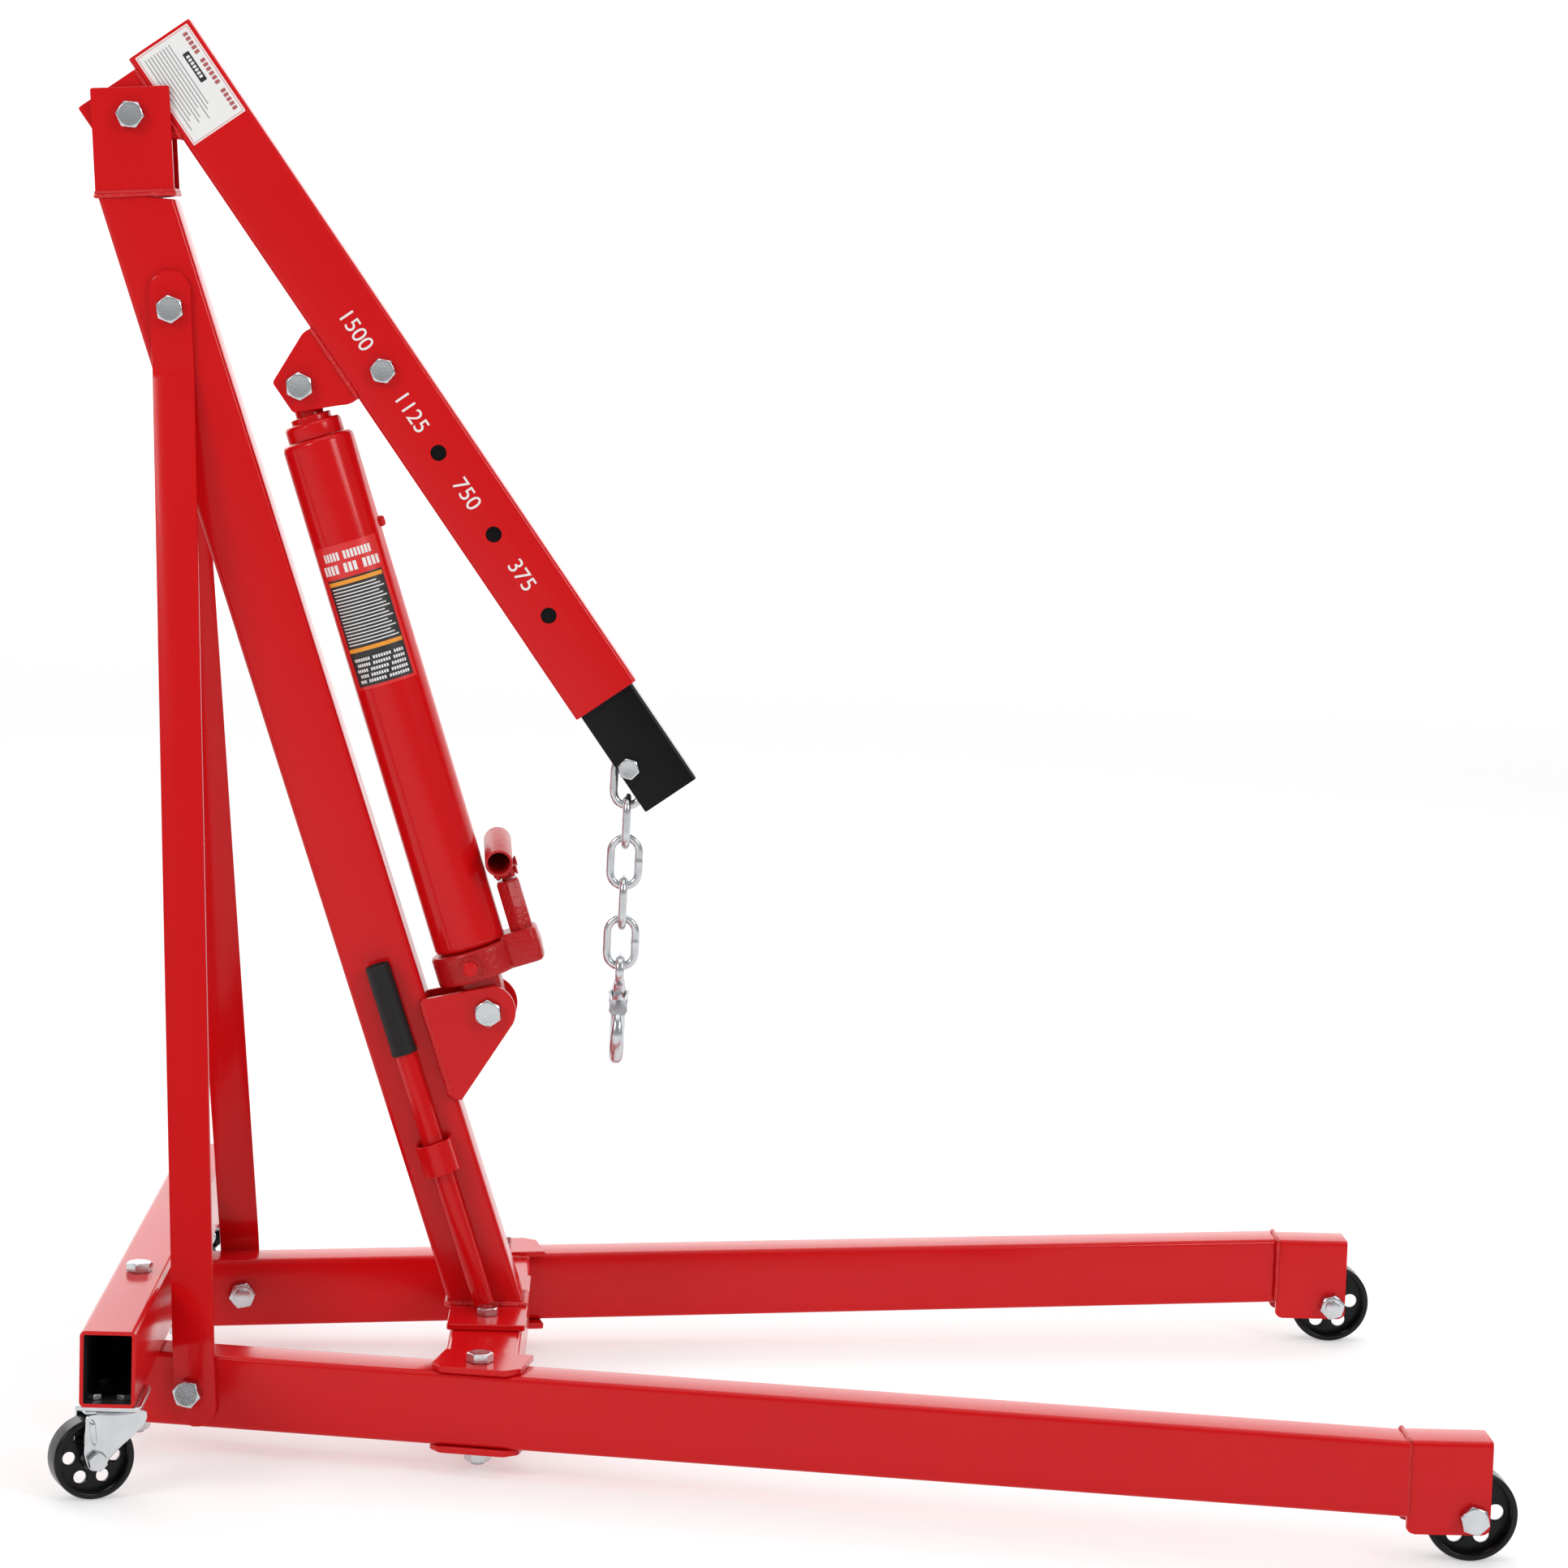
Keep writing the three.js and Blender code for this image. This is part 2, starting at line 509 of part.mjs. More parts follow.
// Jack bracket: two cheeks astride the mast, joined by a strip on its front face.
function jackBracket() {
  const frontX = (z) => mastCentreX(z) + MAST_DEPTH / 2 / Math.cos(MAST_LEAN) + GAP;
  const lap = 5;
  const strip = 5;
  const [topZ, bottomZ] = [426, 325.6];
  const top = [frontX(topZ) - lap, topZ];
  const bottom = [frontX(bottomZ) - lap, bottomZ];
  const tip = [bottom[0] + lap + 9, bottomZ];
  const centre = [JACK_FOOT.x, JACK_FOOT.z];
  const from = tangentAngle(tip, centre, JACK_BRACKET_RADIUS, 1);
  const to = tangentAngle(top, centre, JACK_BRACKET_RADIUS, -1);
  const cheek = [top, bottom, tip, ...arc(...centre, JACK_BRACKET_RADIUS, from, to, 10)];
  const inside = MAST_WIDTH / 2 + GAP;
  const half = inside + PLATE;
  const above = topZ + 40;
  const below = bottomZ - 40;
  const mastSpace = [[frontX(above) - 60, above], [frontX(below) - 60, below],
    [frontX(below), below], [frontX(above), above]];
  const jackSpace = [[frontX(above) + strip, above], [frontX(below) + strip, below],
    [frontX(below) + 120, below], [frontX(below) + 120, above]];
  const hole = rodY(M16.shank + HOLE_CLEARANCE, -half - 1, half + 1, ...centre);
  const spaces = [mastSpace, jackSpace].map((space) => prismY(space, -inside, inside));
  part(crane, 'jack_bracket', cut(prismY(cheek, -half, half), ...spaces, hole), redPaint);
  part(crane, 'jack_foot_bolt', crossBolt(M16, half, RIGHT, ...centre), zinc);
}

// A flat bar through stations, each with a centre, a half width along `wide` and a face normal.
function flatBar(stations, thickness) {
  const corners = [];
  for (const { centre, wide, normal, half } of stations) {
    for (const [a, b] of [[-1, -1], [1, -1], [1, 1], [-1, 1]]) {
      const point = centre.clone().addScaledVector(wide, a * half);
      corners.push(point.addScaledVector(normal, b * thickness / 2));
    }
  }
  const index = [];
  for (let i = 0; i + 1 < stations.length; i += 1) {
    for (let k = 0; k < 4; k += 1) {
      const [a, b] = [4 * i + k, 4 * i + (k + 1) % 4];
      index.push(a, b, b + 4, a, b + 4, a + 4);
    }
  }
  const last = corners.length - 4;
  index.push(0, 2, 1, 0, 3, 2, last, last + 1, last + 2, last, last + 2, last + 3);
  const geometry = new THREE.BufferGeometry().setFromPoints(corners);
  geometry.setIndex(index);
  geometry.computeVertexNormals();
  return geometry;
}

const BRACE_WIDTH = 40;
const BRACE_BENDS = [1027, 127];
const BRACE_ENDS = [1126, 45];

// Brace: a flat bar from the side of the mast's top, bent outward down to the outer side of a leg.
function brace(side) {
  const topX = mastCentreX(BRACE_TOP_Z);
  const slope = (BRACE_FOOT_X - topX) / (BRACE_TOP_Z - BRACE_FOOT_Z);
  const lineX = (z) => topX + (BRACE_TOP_Z - z) * slope;
  const stand = GAP + PLATE / 2;
  const topNormal = new THREE.Vector3(0, side, 0);
  const footNormal = new THREE.Vector3(-Math.sin(LEG_SPLAY), side * Math.cos(LEG_SPLAY), 0);
  const legY = (x) => legCentreY(x) + legHalfWidthY + stand / Math.cos(LEG_SPLAY);
  const down = new THREE.Vector3(slope, 0, -1).normalize();
  const station = (z, half, normal) => {
    const high = normal === topNormal;
    const y = high ? MAST_WIDTH / 2 + stand : legY(lineX(z));
    const along = down.clone().addScaledVector(normal, -down.dot(normal)).normalize();
    const wide = new THREE.Vector3().crossVectors(normal, along).multiplyScalar(side);
    return { centre: new THREE.Vector3(lineX(z), side * y, z), wide, normal, half };
  };
  const full = BRACE_WIDTH / 2;
  const roundEnd = (end, towards, normal) => [0.06, 0.2, 0.45, 0.75, 1].map((share) => {
    const depth = share * full;
    return station(end + towards * depth, Math.sqrt(full ** 2 - (full - depth) ** 2), normal);
  });
  const stations = [
    ...roundEnd(BRACE_ENDS[0], -1, topNormal),
    station(BRACE_BENDS[0], full, topNormal),
    station(BRACE_BENDS[1], full, footNormal),
    ...roundEnd(BRACE_ENDS[1], 1, footNormal).reverse(),
  ];
  const bar = flatBar(stations, PLATE);
  const topHole = rodY(M16.shank + HOLE_CLEARANCE, -40, 40, topX, BRACE_TOP_Z);
  const footHole = rodY(M16.shank + HOLE_CLEARANCE, -60, 60).rotateZ(side * LEG_SPLAY);
  footHole.translate(BRACE_FOOT_X, side * legCentreY(BRACE_FOOT_X), BRACE_FOOT_Z);
  part(crane, `brace_${sideName(side)}`, cut(bar, topHole, footHole), redPaint);

  const outside = GAP + PLATE;
  const footBolt = boltGeometry(M16, TUBE_WIDTH + outside).translate(0, 0, TUBE_WIDTH / 2 + outside);
  footBolt.rotateX(-side * Math.PI / 2);
  part(legFrame(side, BRACE_FOOT_X), `brace_foot_bolt_${sideName(side)}`,
    footBolt.translate(0, 0, BRACE_FOOT_Z), zinc);
}

function braceTopBolt() {
  const halfGrip = MAST_WIDTH / 2 + GAP + PLATE;
  const geometry = crossBolt(M16, halfGrip, RIGHT, mastCentreX(BRACE_TOP_Z), BRACE_TOP_Z);
  part(crane, 'brace_top_bolt', geometry, zinc);
}

// ---------- boom ----------

// Boom: a tube with four pin holes, the hinge bracket under its rear and the ram's bracket.
function boom(pivot) {
  const frame = group(pivot, 0, 0, 0, 'boom');
  frame.rotation.y = BOOM_ANGLE + HEAD_LEAN;
  const half = BOOM.width / 2;
  const outside = block(BOOM.rear, BOOM.front, -half, half, BOOM.bottom, BOOM.top);
  const inside = block(BOOM.rear - 1, BOOM.front + 1, -half + BOOM.wall, half - BOOM.wall,
    BOOM.bottom + BOOM.wall, BOOM.top - BOOM.wall);
  const holes = LOCK_HOLES.map((s) => rodY(M14.shank + HOLE_CLEARANCE, -half - 1, half + 1, s, BOOM_AXIS_N));
  part(frame, 'boom_tube', cut(outside, inside, ...holes), redPaint);
  part(frame, 'boom_lock_bolt', crossBolt(M14, half, RIGHT, LOCK_HOLES[0], BOOM_AXIS_N), zinc);

  const weldLine = BOOM.bottom - GAP;
  const hinge = [[-34, weldLine], [-34, -39], [8, -39], [30, 10], [46, weldLine]];
  const hingeBody = prismY(hinge, -half, half);
  const wall = 4;
  const hingeSlot = block(-34 + wall, 60, -half + wall, half - wall, -50, weldLine + 1);
  const hingeHole = rodY(M16.shank + HOLE_CLEARANCE, -half - 1, half + 1);
  part(frame, 'boom_pivot_bracket', cut(hingeBody, hingeSlot, hingeHole), redPaint);

  const cheek = [[262, weldLine], [262, 18], [285, -33], [320, -33], [338, 6], [343.5, 17], [343.5, weldLine]];
  const plate = 5;
  const ramBody = prismY(cheek, -half, half);
  const ramSlot = block(200, 400, -half + plate, half - plate, -60, weldLine - plate);
  const pinHole = rodY(M16.shank + HOLE_CLEARANCE, -half - 1, half + 1, RAM_PIN.s, RAM_PIN.n);
  part(frame, 'ram_bracket', cut(ramBody, ramSlot, pinHole), redPaint);

  // The ram's pin is in three pieces: its two ends stay in the bracket, its middle in the ram's eye.
  const hexRadius = M16.flats / Math.sqrt(3);
  const inner = half - plate + GAP;
  const head = join(
    rodY(hexRadius, -half - GAP - M16.head, -half - GAP, RAM_PIN.s, RAM_PIN.n, 6),
    rodY(M16.shank, -half - GAP - 2, -inner, RAM_PIN.s, RAM_PIN.n, 12),
  );
  const nut = join(
    rodY(hexRadius, half + GAP, half + GAP + M16.nut, RAM_PIN.s, RAM_PIN.n, 6),
    rodY(M16.shank, inner, half + GAP + M16.nut + 3, RAM_PIN.s, RAM_PIN.n, 12),
  );
  part(frame, 'ram_pin_head', head, zinc);
  part(frame, 'ram_pin_nut', nut, zinc);
  return frame;
}

// Boom extension: the black inner tube, slotted for the lock bolt and for the chain's top link.
function boomExtension(frame) {
  const { width, rear, front, bottom, top, wall } = EXTENSION;
  const half = width / 2;
  const outside = block(rear, front, -half, half, bottom, top);
  const inside = block(rear - 1, front + 1, -half + wall, half - wall, bottom + wall, top - wall);
  const slotHalf = M14.shank + HOLE_CLEARANCE;
  const lockSlot = join(
    block(rear - 1, LOCK_HOLES[0], -half - 1, half + 1, BOOM_AXIS_N - slotHalf, BOOM_AXIS_N + slotHalf),
    rodY(slotHalf, -half - 1, half + 1, LOCK_HOLES[0], BOOM_AXIS_N),
  );
  const chainNotch = block(CHAIN_BOLT.s - 53, front + 1, -7, 7, bottom - 1, bottom + wall + 1);
  const boltHole = rodY(M12.shank + HOLE_CLEARANCE, -half - 1, half + 1, CHAIN_BOLT.s, CHAIN_BOLT.n);
  part(frame, 'boom_extension', cut(outside, inside, lockSlot, chainNotch, boltHole), blackPaint);
  part(frame, 'chain_bolt', crossBolt(M12, half, RIGHT, CHAIN_BOLT.s, CHAIN_BOLT.n), zinc);
}

// ---------- chain and hook ----------

// A link standing in the XZ plane, hung by its top: the inside of its top bend is at z = top.
function linkGeometry(top) {
  const bend = LINK_BEND + WIRE;
  const upper = top - LINK_BEND;
  const lower = top - LINK_INSIDE + LINK_BEND;
  const path = new THREE.CurvePath();
  const straight = (x, z0, z1) => new THREE.LineCurve3(new THREE.Vector3(x, 0, z0), new THREE.Vector3(x, 0, z1));
  class Bend extends THREE.Curve {
    constructor(z, start) {
      super();
      this.z = z;
      this.start = start;
    }

    getPoint(t, target = new THREE.Vector3()) {
      const angle = this.start + Math.PI * t;
      return target.set(bend * Math.cos(angle), 0, this.z + bend * Math.sin(angle));
    }
  }
  path.add(straight(bend, lower, upper));
  path.add(new Bend(upper, 0));
  path.add(straight(-bend, upper, lower));
  path.add(new Bend(lower, Math.PI));
  return ringSweep(path, WIRE, 16, 6);
}

// A round wire swept round a closed flat path in the XZ plane.
function ringSweep(path, radius, steps, facets) {
  const points = path.getSpacedPoints(steps).slice(0, steps);
  const corners = [];
  const index = [];
  const normalY = new THREE.Vector3(0, 1, 0);
  points.forEach((point, i) => {
    const before = points[(i + steps - 1) % steps];
    const after = points[(i + 1) % steps];
    const tangent = after.clone().sub(before).normalize();
    const outward = new THREE.Vector3().crossVectors(tangent, normalY);
    for (let k = 0; k < facets; k += 1) {
      const angle = 2 * Math.PI * (k + 0.5) / facets;
      const corner = point.clone().addScaledVector(outward, radius * Math.cos(angle));
      corners.push(corner.addScaledVector(normalY, radius * Math.sin(angle)));
    }
  });
  for (let i = 0; i < steps; i += 1) {
    for (let k = 0; k < facets; k += 1) {
      const [a, b] = [i * facets + k, i * facets + (k + 1) % facets];
      const [c, d] = [((i + 1) % steps) * facets + k, ((i + 1) % steps) * facets + (k + 1) % facets];
      index.push(a, b, d, a, d, c);
    }
  }
  const geometry = new THREE.BufferGeometry().setFromPoints(corners);
  geometry.setIndex(index);
  return toGeometry(toSolid(geometry));
}

// The chain hangs plumb from the extension's bolt, and every second link is turned a quarter.
function chain(frame) {
  const bolt = group(frame, CHAIN_BOLT.s, 0, CHAIN_BOLT.n, 'chain_link_pivot_1');
  bolt.rotation.y = -BOOM_ANGLE + FRAME_RISE;
  part(bolt, 'chain_link_1', linkGeometry(M12.shank + GAP), zinc);
  let z = M12.shank + GAP - LINK_INSIDE - WIRE;
  for (let number = 2; number <= 5; number += 1) {
    const pivot = group(bolt, 0, 0, z, `chain_link_pivot_${number}`);
    const link = part(pivot, `chain_link_${number}`, linkGeometry(WIRE + GAP), zinc);
    link.rotation.z = number % 2 === 0 ? Math.PI / 2 : 0;
    z -= CHAIN_PITCH;
  }
  hook(group(bolt, 0, 0, z, 'hook_pivot'));
}

// A flat outline that follows a centre line with a half width at each point.
function bandOutline(points, halves) {
  const leftSide = [];
  const rightSide = [];
  points.forEach(([x, y], i) => {
    const [ax, ay] = points[Math.max(i - 1, 0)];
    const [bx, by] = points[Math.min(i + 1, points.length - 1)];
    const length = Math.hypot(bx - ax, by - ay);
    const [nx, ny] = [-(by - ay) / length, (bx - ax) / length];
    leftSide.push([x + nx * halves[i], y + ny * halves[i]]);
    rightSide.push([x - nx * halves[i], y - ny * halves[i]]);
  });
  return [...leftSide, ...rightSide.reverse()];
}

// Hook: eye, shank behind the throat and a bowl that opens towards -Y; it swings about X.
function hook(pivot) {
  const eyeZ = WIRE + 1.4 - HOOK.eye;
  const bowlZ = eyeZ - HOOK.drop;
  const eyeHalf = 4.7;
  const eyeRing = cut(rodX(HOOK.eye + HOOK.eyeWall, -eyeHalf, eyeHalf, 0, eyeZ, 16),
    rodX(HOOK.eye, -eyeHalf - 1, eyeHalf + 1, 0, eyeZ, 16));
  const centreRadius = HOOK.bowl + 9.5;
  const bowl = arc(0, bowlZ, centreRadius, 0.9, -1.18 * Math.PI, 14);
  const centres = [[3, eyeZ - 15], [10, eyeZ - 24], ...bowl];
  const halves = [7, 7.5, ...bowl.map((_, i) => {
    const share = i / (bowl.length - 1);
    return share < 0.85 ? 8 + 2.2 * Math.sin(Math.PI * share / 0.85) : 8 - 26 * (share - 0.85);
  })];
  const half = HOOK.thickness / 2;
  const blank = new THREE.ExtrudeGeometry(outline(bandOutline(centres, halves)),
    { depth: HOOK.thickness, bevelEnabled: false });
  blank.rotateX(Math.PI / 2).rotateZ(Math.PI / 2).translate(-half, 0, 0);
  const latchPin = centres[1];
  const pinHole = rodX(2.6, -half - 1, half + 1, ...latchPin, 12);
  part(pivot, 'lifting_hook', cut(join(eyeRing, blank), pinHole), zinc);

  // Latch: a sheet tongue with two ears on a pin through the shank; it swings into the bowl.
  const tip = [-16.5, bowlZ + 13.8];
  const latchPivot = group(pivot, 0, ...latchPin, 'latch_pivot');
  const reach = Math.hypot(latchPin[0] - tip[0], latchPin[1] - tip[1]);
  const out = half + 2;
  const tongue = join(
    block(-out, out, -reach, -12, -1, 1),
    block(half + GAP, out, -14, 3.5, -3.5, 3.5),
    block(-out, -half - GAP, -14, 3.5, -3.5, 3.5),
    rodX(2, -out, out, 0, 0, 12),
  );
  tongue.rotateX(Math.atan2(latchPin[1] - tip[1], latchPin[0] - tip[0]));
  part(latchPivot, 'hook_latch', tongue, zinc);
}

// ---------- jack ----------

function jack(ramPinPoint) {
  const lean = Math.atan2(JACK_FOOT.x - ramPinPoint.x, ramPinPoint.z - JACK_FOOT.z);
  const frame = group(crane, JACK_FOOT.x, 0, JACK_FOOT.z, 'jack_foot');
  frame.rotation.y = -lean;
  const eyeZ = Math.hypot(JACK_FOOT.x - ramPinPoint.x, ramPinPoint.z - JACK_FOOT.z);
  jackBody(frame);
  jackBase(frame);
  jackRam(frame, eyeZ);
  pump(frame);
}

function jackBody(frame) {
  const bore = RAM_RADIUS + 0.6;
  const radius = RESERVOIR_RADIUS;
  const profile = [
    [bore, RESERVOIR_BOTTOM + 30], [0, RESERVOIR_BOTTOM + 30], [0, RESERVOIR_BOTTOM], [radius, RESERVOIR_BOTTOM],
    [radius, RESERVOIR_TOP - 7], [radius - 2, RESERVOIR_TOP - 2], [radius - 6, RESERVOIR_TOP],
    [bore, RESERVOIR_TOP], [bore, RESERVOIR_BOTTOM + 30],
  ];
  part(frame, 'jack_reservoir', latheZ(profile, 24), redPaint);
  const nutBottom = RESERVOIR_TOP + GAP;
  const nut = [
    [bore, nutBottom], [28, nutBottom], [28, nutBottom + 13], [25, nutBottom + 16],
    [20, nutBottom + 16], [20, nutBottom + 22], [bore, nutBottom + 22], [bore, nutBottom],
  ];
  part(frame, 'jack_top_nut', latheZ(nut, 16), redPaint);
}

function latheZ(profile, facets) {
  const geometry = new THREE.LatheGeometry(profile.map(([r, z]) => new THREE.Vector2(r, z)), facets);
  return toGeometry(toSolid(geometry.rotateX(Math.PI / 2)));
}

// Cast base: foot lug on its bolt, round socket for the reservoir, pump boss and pivot post.
function jackBase(frame) {
  const lugHalf = MAST_WIDTH / 2 - 1.5;
  const round = rodZ(41, 33, RESERVOIR_BOTTOM - GAP, 0, 0, 20);
  const foot = rodY(20, -lugHalf, lugHalf, 0, 0, 16);
  const lug = block(-20, 20, -lugHalf, lugHalf, 0, 34);
  const boss = prismZ([[20, -19], [58, -19], [68, -11], [68, 19], [60, 27], [20, 27]], 33, 67);
  const post = join(
    block(PUMP_X - 4.6, PUMP_X + 4.6, SOCKET.pivotY - 6, SOCKET.pivotY + 6, 60, SOCKET.pivotZ),
    rodX(6, PUMP_X - 4.6, PUMP_X + 4.6, SOCKET.pivotY, SOCKET.pivotZ, 12),
  );
  const valveBoss = rodY(11, -46, -30, -3, 48, 12);
  const footHole = rodY(M16.shank + HOLE_CLEARANCE, -lugHalf - 1, lugHalf + 1);
  const valveHole = rodY(6, -50, -38, -3, 48, 12);
  const pinHole = rodX(4, PUMP_X - 6, PUMP_X + 6, SOCKET.pivotY, SOCKET.pivotZ, 12);
  const seat = rodZ(RESERVOIR_RADIUS + GAP, RESERVOIR_BOTTOM - GAP, 90, 0, 0, 24);
  const body = join(round, foot, lug, boss, post, valveBoss);
  part(frame, 'jack_base', cut(body, seat, footHole, valveHole, pinHole), redPaint);

  const valve = group(frame, -3, 0, 48, 'release_valve_axis');
  const screw = join(rodY(5.5, -52, -38.4, 0, 0, 12), rodY(8, -52, -46.5, 0, 0, 12));
  const slot = block(-1.2, 1.2, -53, -49.5, -9, 9);
  part(valve, 'release_valve', cut(screw, slot), redPaint);
}

function jackRam(frame, eyeZ) {
  const half = BOOM.width / 2 - 5 - 1;
  const rod = rodZ(RAM_RADIUS, RESERVOIR_BOTTOM + 34, eyeZ - 4, 0, 0, 16);
  const eye = rodY(RAM_EYE_RADIUS, -half, half, 0, eyeZ, 20);
  part(group(frame, 0, 0, 0, 'ram'), 'jack_ram', join(rod, eye), redPaint);
}

// Hand pump: barrel, plunger, and the handle socket on its pivot post.
function pump(frame) {
  const barrel = rodZ(22 / Math.sqrt(3), 67 + GAP, PUMP_TOP, PUMP_X, 0, 6);
  const bore = rodZ(5.3, 80, PUMP_TOP + 1, PUMP_X, 0, 12);
  part(frame, 'pump_barrel', cut(barrel, bore), redPaint);

  const pinY = SOCKET.pivotY - SOCKET.reach * Math.cos(SOCKET_TILT);
  const pinZ = SOCKET.pivotZ - SOCKET.reach * Math.sin(SOCKET_TILT);
  const rod = rodZ(4.7, 84, pinZ - 4.4, PUMP_X, 0, 12);
  const eye = join(
    rodX(5.4, PUMP_X - 4.6, PUMP_X + 4.6, pinY - 0.7, pinZ, 16),
    rodX(5.4, PUMP_X - 4.6, PUMP_X + 4.6, pinY + 2.3, pinZ, 16),
  );
  const slot = join(
    rodX(4, PUMP_X - 6, PUMP_X + 6, pinY - 0.7, pinZ, 16),
    block(PUMP_X - 6, PUMP_X + 6, pinY - 0.7, pinY + 2.3, pinZ - 3.9, pinZ + 3.9),
    rodX(4, PUMP_X - 6, PUMP_X + 6, pinY + 2.3, pinZ, 16),
  );
  part(group(frame, 0, 0, 0, 'plunger'), 'pump_plunger', cut(join(rod, eye), slot), redPaint);

  // In the socket's own frame y runs along the tube, from its pivot pin towards +Y.
  const pivot = group(frame, PUMP_X, SOCKET.pivotY, SOCKET.pivotZ, 'socket_pivot');
  const tilt = SOCKET_TILT;
  const tubeZ = 21;
  const centreY = -22;
  const tube = rodY(SOCKET.outer, centreY - SOCKET.length / 2, centreY + SOCKET.length / 2, 0, tubeZ, 16);
  const tubeBore = rodY(SOCKET.inner, centreY - SOCKET.length, centreY + SOCKET.length / 2 - 4, 0, tubeZ, 16);
  const cheekShape = [[-SOCKET.reach - 7, 14], [-SOCKET.reach - 7, -3], [-SOCKET.reach, -7],
    [2, -7], [7, -2], [7, 14]];
  const cheek = (x0, x1) => {
    const geometry = new THREE.ExtrudeGeometry(outline(cheekShape), { depth: x1 - x0, bevelEnabled: false });
    return geometry.rotateX(Math.PI / 2).rotateZ(Math.PI / 2).translate(x0, 0, 0);
  };
  const pins = [-SOCKET.reach, 0].map((y) => rodX(3.5, -11, 13, y, 0, 12));
  const body = cut(join(tube, cheek(-9.5, -5), cheek(5, 9.5)), tubeBore);
  const socket = join(body, ...pins).rotateX(tilt);
  part(pivot, 'handle_socket', socket, redPaint);
}

// ---------- stored pump handle ----------

function storedHandle() {
  const frame = group(crane, MAST_FOOT_X, 0, MAST_FOOT_Z, 'stored_handle');
  frame.rotation.y = -MAST_LEAN;
  const bottom = 4.2;
  const tube = [
    [HANDLE_RADIUS - HANDLE_WALL, bottom], [HANDLE_RADIUS, bottom],
    [HANDLE_RADIUS, HANDLE_LENGTH], [HANDLE_RADIUS - HANDLE_WALL, HANDLE_LENGTH],
    [HANDLE_RADIUS - HANDLE_WALL, bottom],
  ];
  part(frame, 'pump_handle', latheZ(tube, 16).translate(0, HANDLE_Y, 0), redPaint);
  const inner = HANDLE_RADIUS + GAP;
  const grip = [
    [2.5, HANDLE_LENGTH + GAP], [inner, HANDLE_LENGTH + GAP], [inner, GRIP.start], [GRIP.radius, GRIP.start],
    [GRIP.radius, GRIP.end - 2], [GRIP.radius - 2, GRIP.end], [2.5, GRIP.end], [2.5, HANDLE_LENGTH + GAP],
  ];
  part(frame, 'handle_grip', latheZ(grip, 16).translate(0, HANDLE_Y, 0), rubber);

  // Clip: a strap welded round the handle tube.
  const strap = 3;
  const outer = 18;
  const mastFace = -MAST_WIDTH / 2 - GAP;
  const middle = HANDLE_Y - 1;
  const loop = (radius, reach) => [[-radius, mastFace + reach],
    ...arc(0, middle, radius, Math.PI, 2 * Math.PI, 12), [radius, mastFace + reach]];
  const clip = cut(
    prismZ(loop(outer, 0), CLIP_HEIGHT - 16, CLIP_HEIGHT + 16),
    prismZ(loop(outer - strap, 1), CLIP_HEIGHT - 17, CLIP_HEIGHT + 17),
  );
  part(frame, 'handle_clip', clip, redPaint);
}

// ---------- assembly ----------

rearBeam();
frontCrossMember();
mast();
for (const side of [LEFT, RIGHT]) {
  leg(side);
  wheelBracket(side);
  caster(side);
  brace(side);
}
baseBolts();
braceTopBolt();
jackBracket();
storedHandle();
const boomFrame = boom(headClevis());
boomExtension(boomFrame);
chain(boomFrame);

// The jack stands between its foot bolt and the ram's pin, both in the frame's own level.
const level = new THREE.Group();
crane.updateMatrixWorld(true);
const ramPinPoint = crane.worldToLocal(boomFrame.localToWorld(new THREE.Vector3(RAM_PIN.s, 0, RAM_PIN.n)));
jack(ramPinPoint);

// The origin is at the middle of the crane's footprint, on the floor.
level.add(crane);
level.updateMatrixWorld(true);
const bounds = new THREE.Box3().setFromObject(level, true);
crane.position.set(
  -(bounds.min.x + bounds.max.x) / 2,
  -(bounds.min.y + bounds.max.y) / 2,
  -bounds.min.z,
);
level.updateMatrixWorld(true);

export default level;
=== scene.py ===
# %% [markdown]
# # An engine hoist crane
# This lesson builds the finished surface of a workshop crane around its engineering model. The
# engineering model gives every piece its place and size. Here each piece gets rounded edges,
# machined bolt heads, weld beads, and paint.

# %% Start from the engineering model
import math

import bmesh
import bpy
import numpy as np
from mathutils import Matrix, Vector
from mathutils.geometry import tessellate_polygon


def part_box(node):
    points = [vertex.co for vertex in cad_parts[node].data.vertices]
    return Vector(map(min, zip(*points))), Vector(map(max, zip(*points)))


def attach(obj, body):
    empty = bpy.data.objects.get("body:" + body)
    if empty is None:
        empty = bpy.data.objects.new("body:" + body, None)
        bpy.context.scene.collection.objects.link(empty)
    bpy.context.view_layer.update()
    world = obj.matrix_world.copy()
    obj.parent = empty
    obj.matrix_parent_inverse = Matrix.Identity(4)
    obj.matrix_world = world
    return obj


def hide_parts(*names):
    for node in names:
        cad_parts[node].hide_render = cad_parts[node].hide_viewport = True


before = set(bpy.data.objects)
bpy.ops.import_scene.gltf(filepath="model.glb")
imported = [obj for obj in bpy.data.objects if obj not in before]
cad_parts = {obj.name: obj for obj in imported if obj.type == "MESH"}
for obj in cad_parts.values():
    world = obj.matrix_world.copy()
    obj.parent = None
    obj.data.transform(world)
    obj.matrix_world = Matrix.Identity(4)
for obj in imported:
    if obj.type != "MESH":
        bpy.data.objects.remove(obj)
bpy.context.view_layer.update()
print("engineering nodes:", len(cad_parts))

# %% [markdown]
# ## Places
# The crane is a tree of tilted pieces: the whole frame rises slightly to the front, the legs
# splay, the mast leans, the boom hangs. A 4 by 4 matrix for each of them lets every shape be
# drawn square to its own axes, in millimetres, and then be put in place.

# %% Matrices
GAP = 0.3
SIDES = {"left": 1, "right": -1}


def shift(x, y, z):
    """Identity with the offset in its last column."""
    m = np.eye(4)
    m[:3, 3] = (x, y, z)
    return m


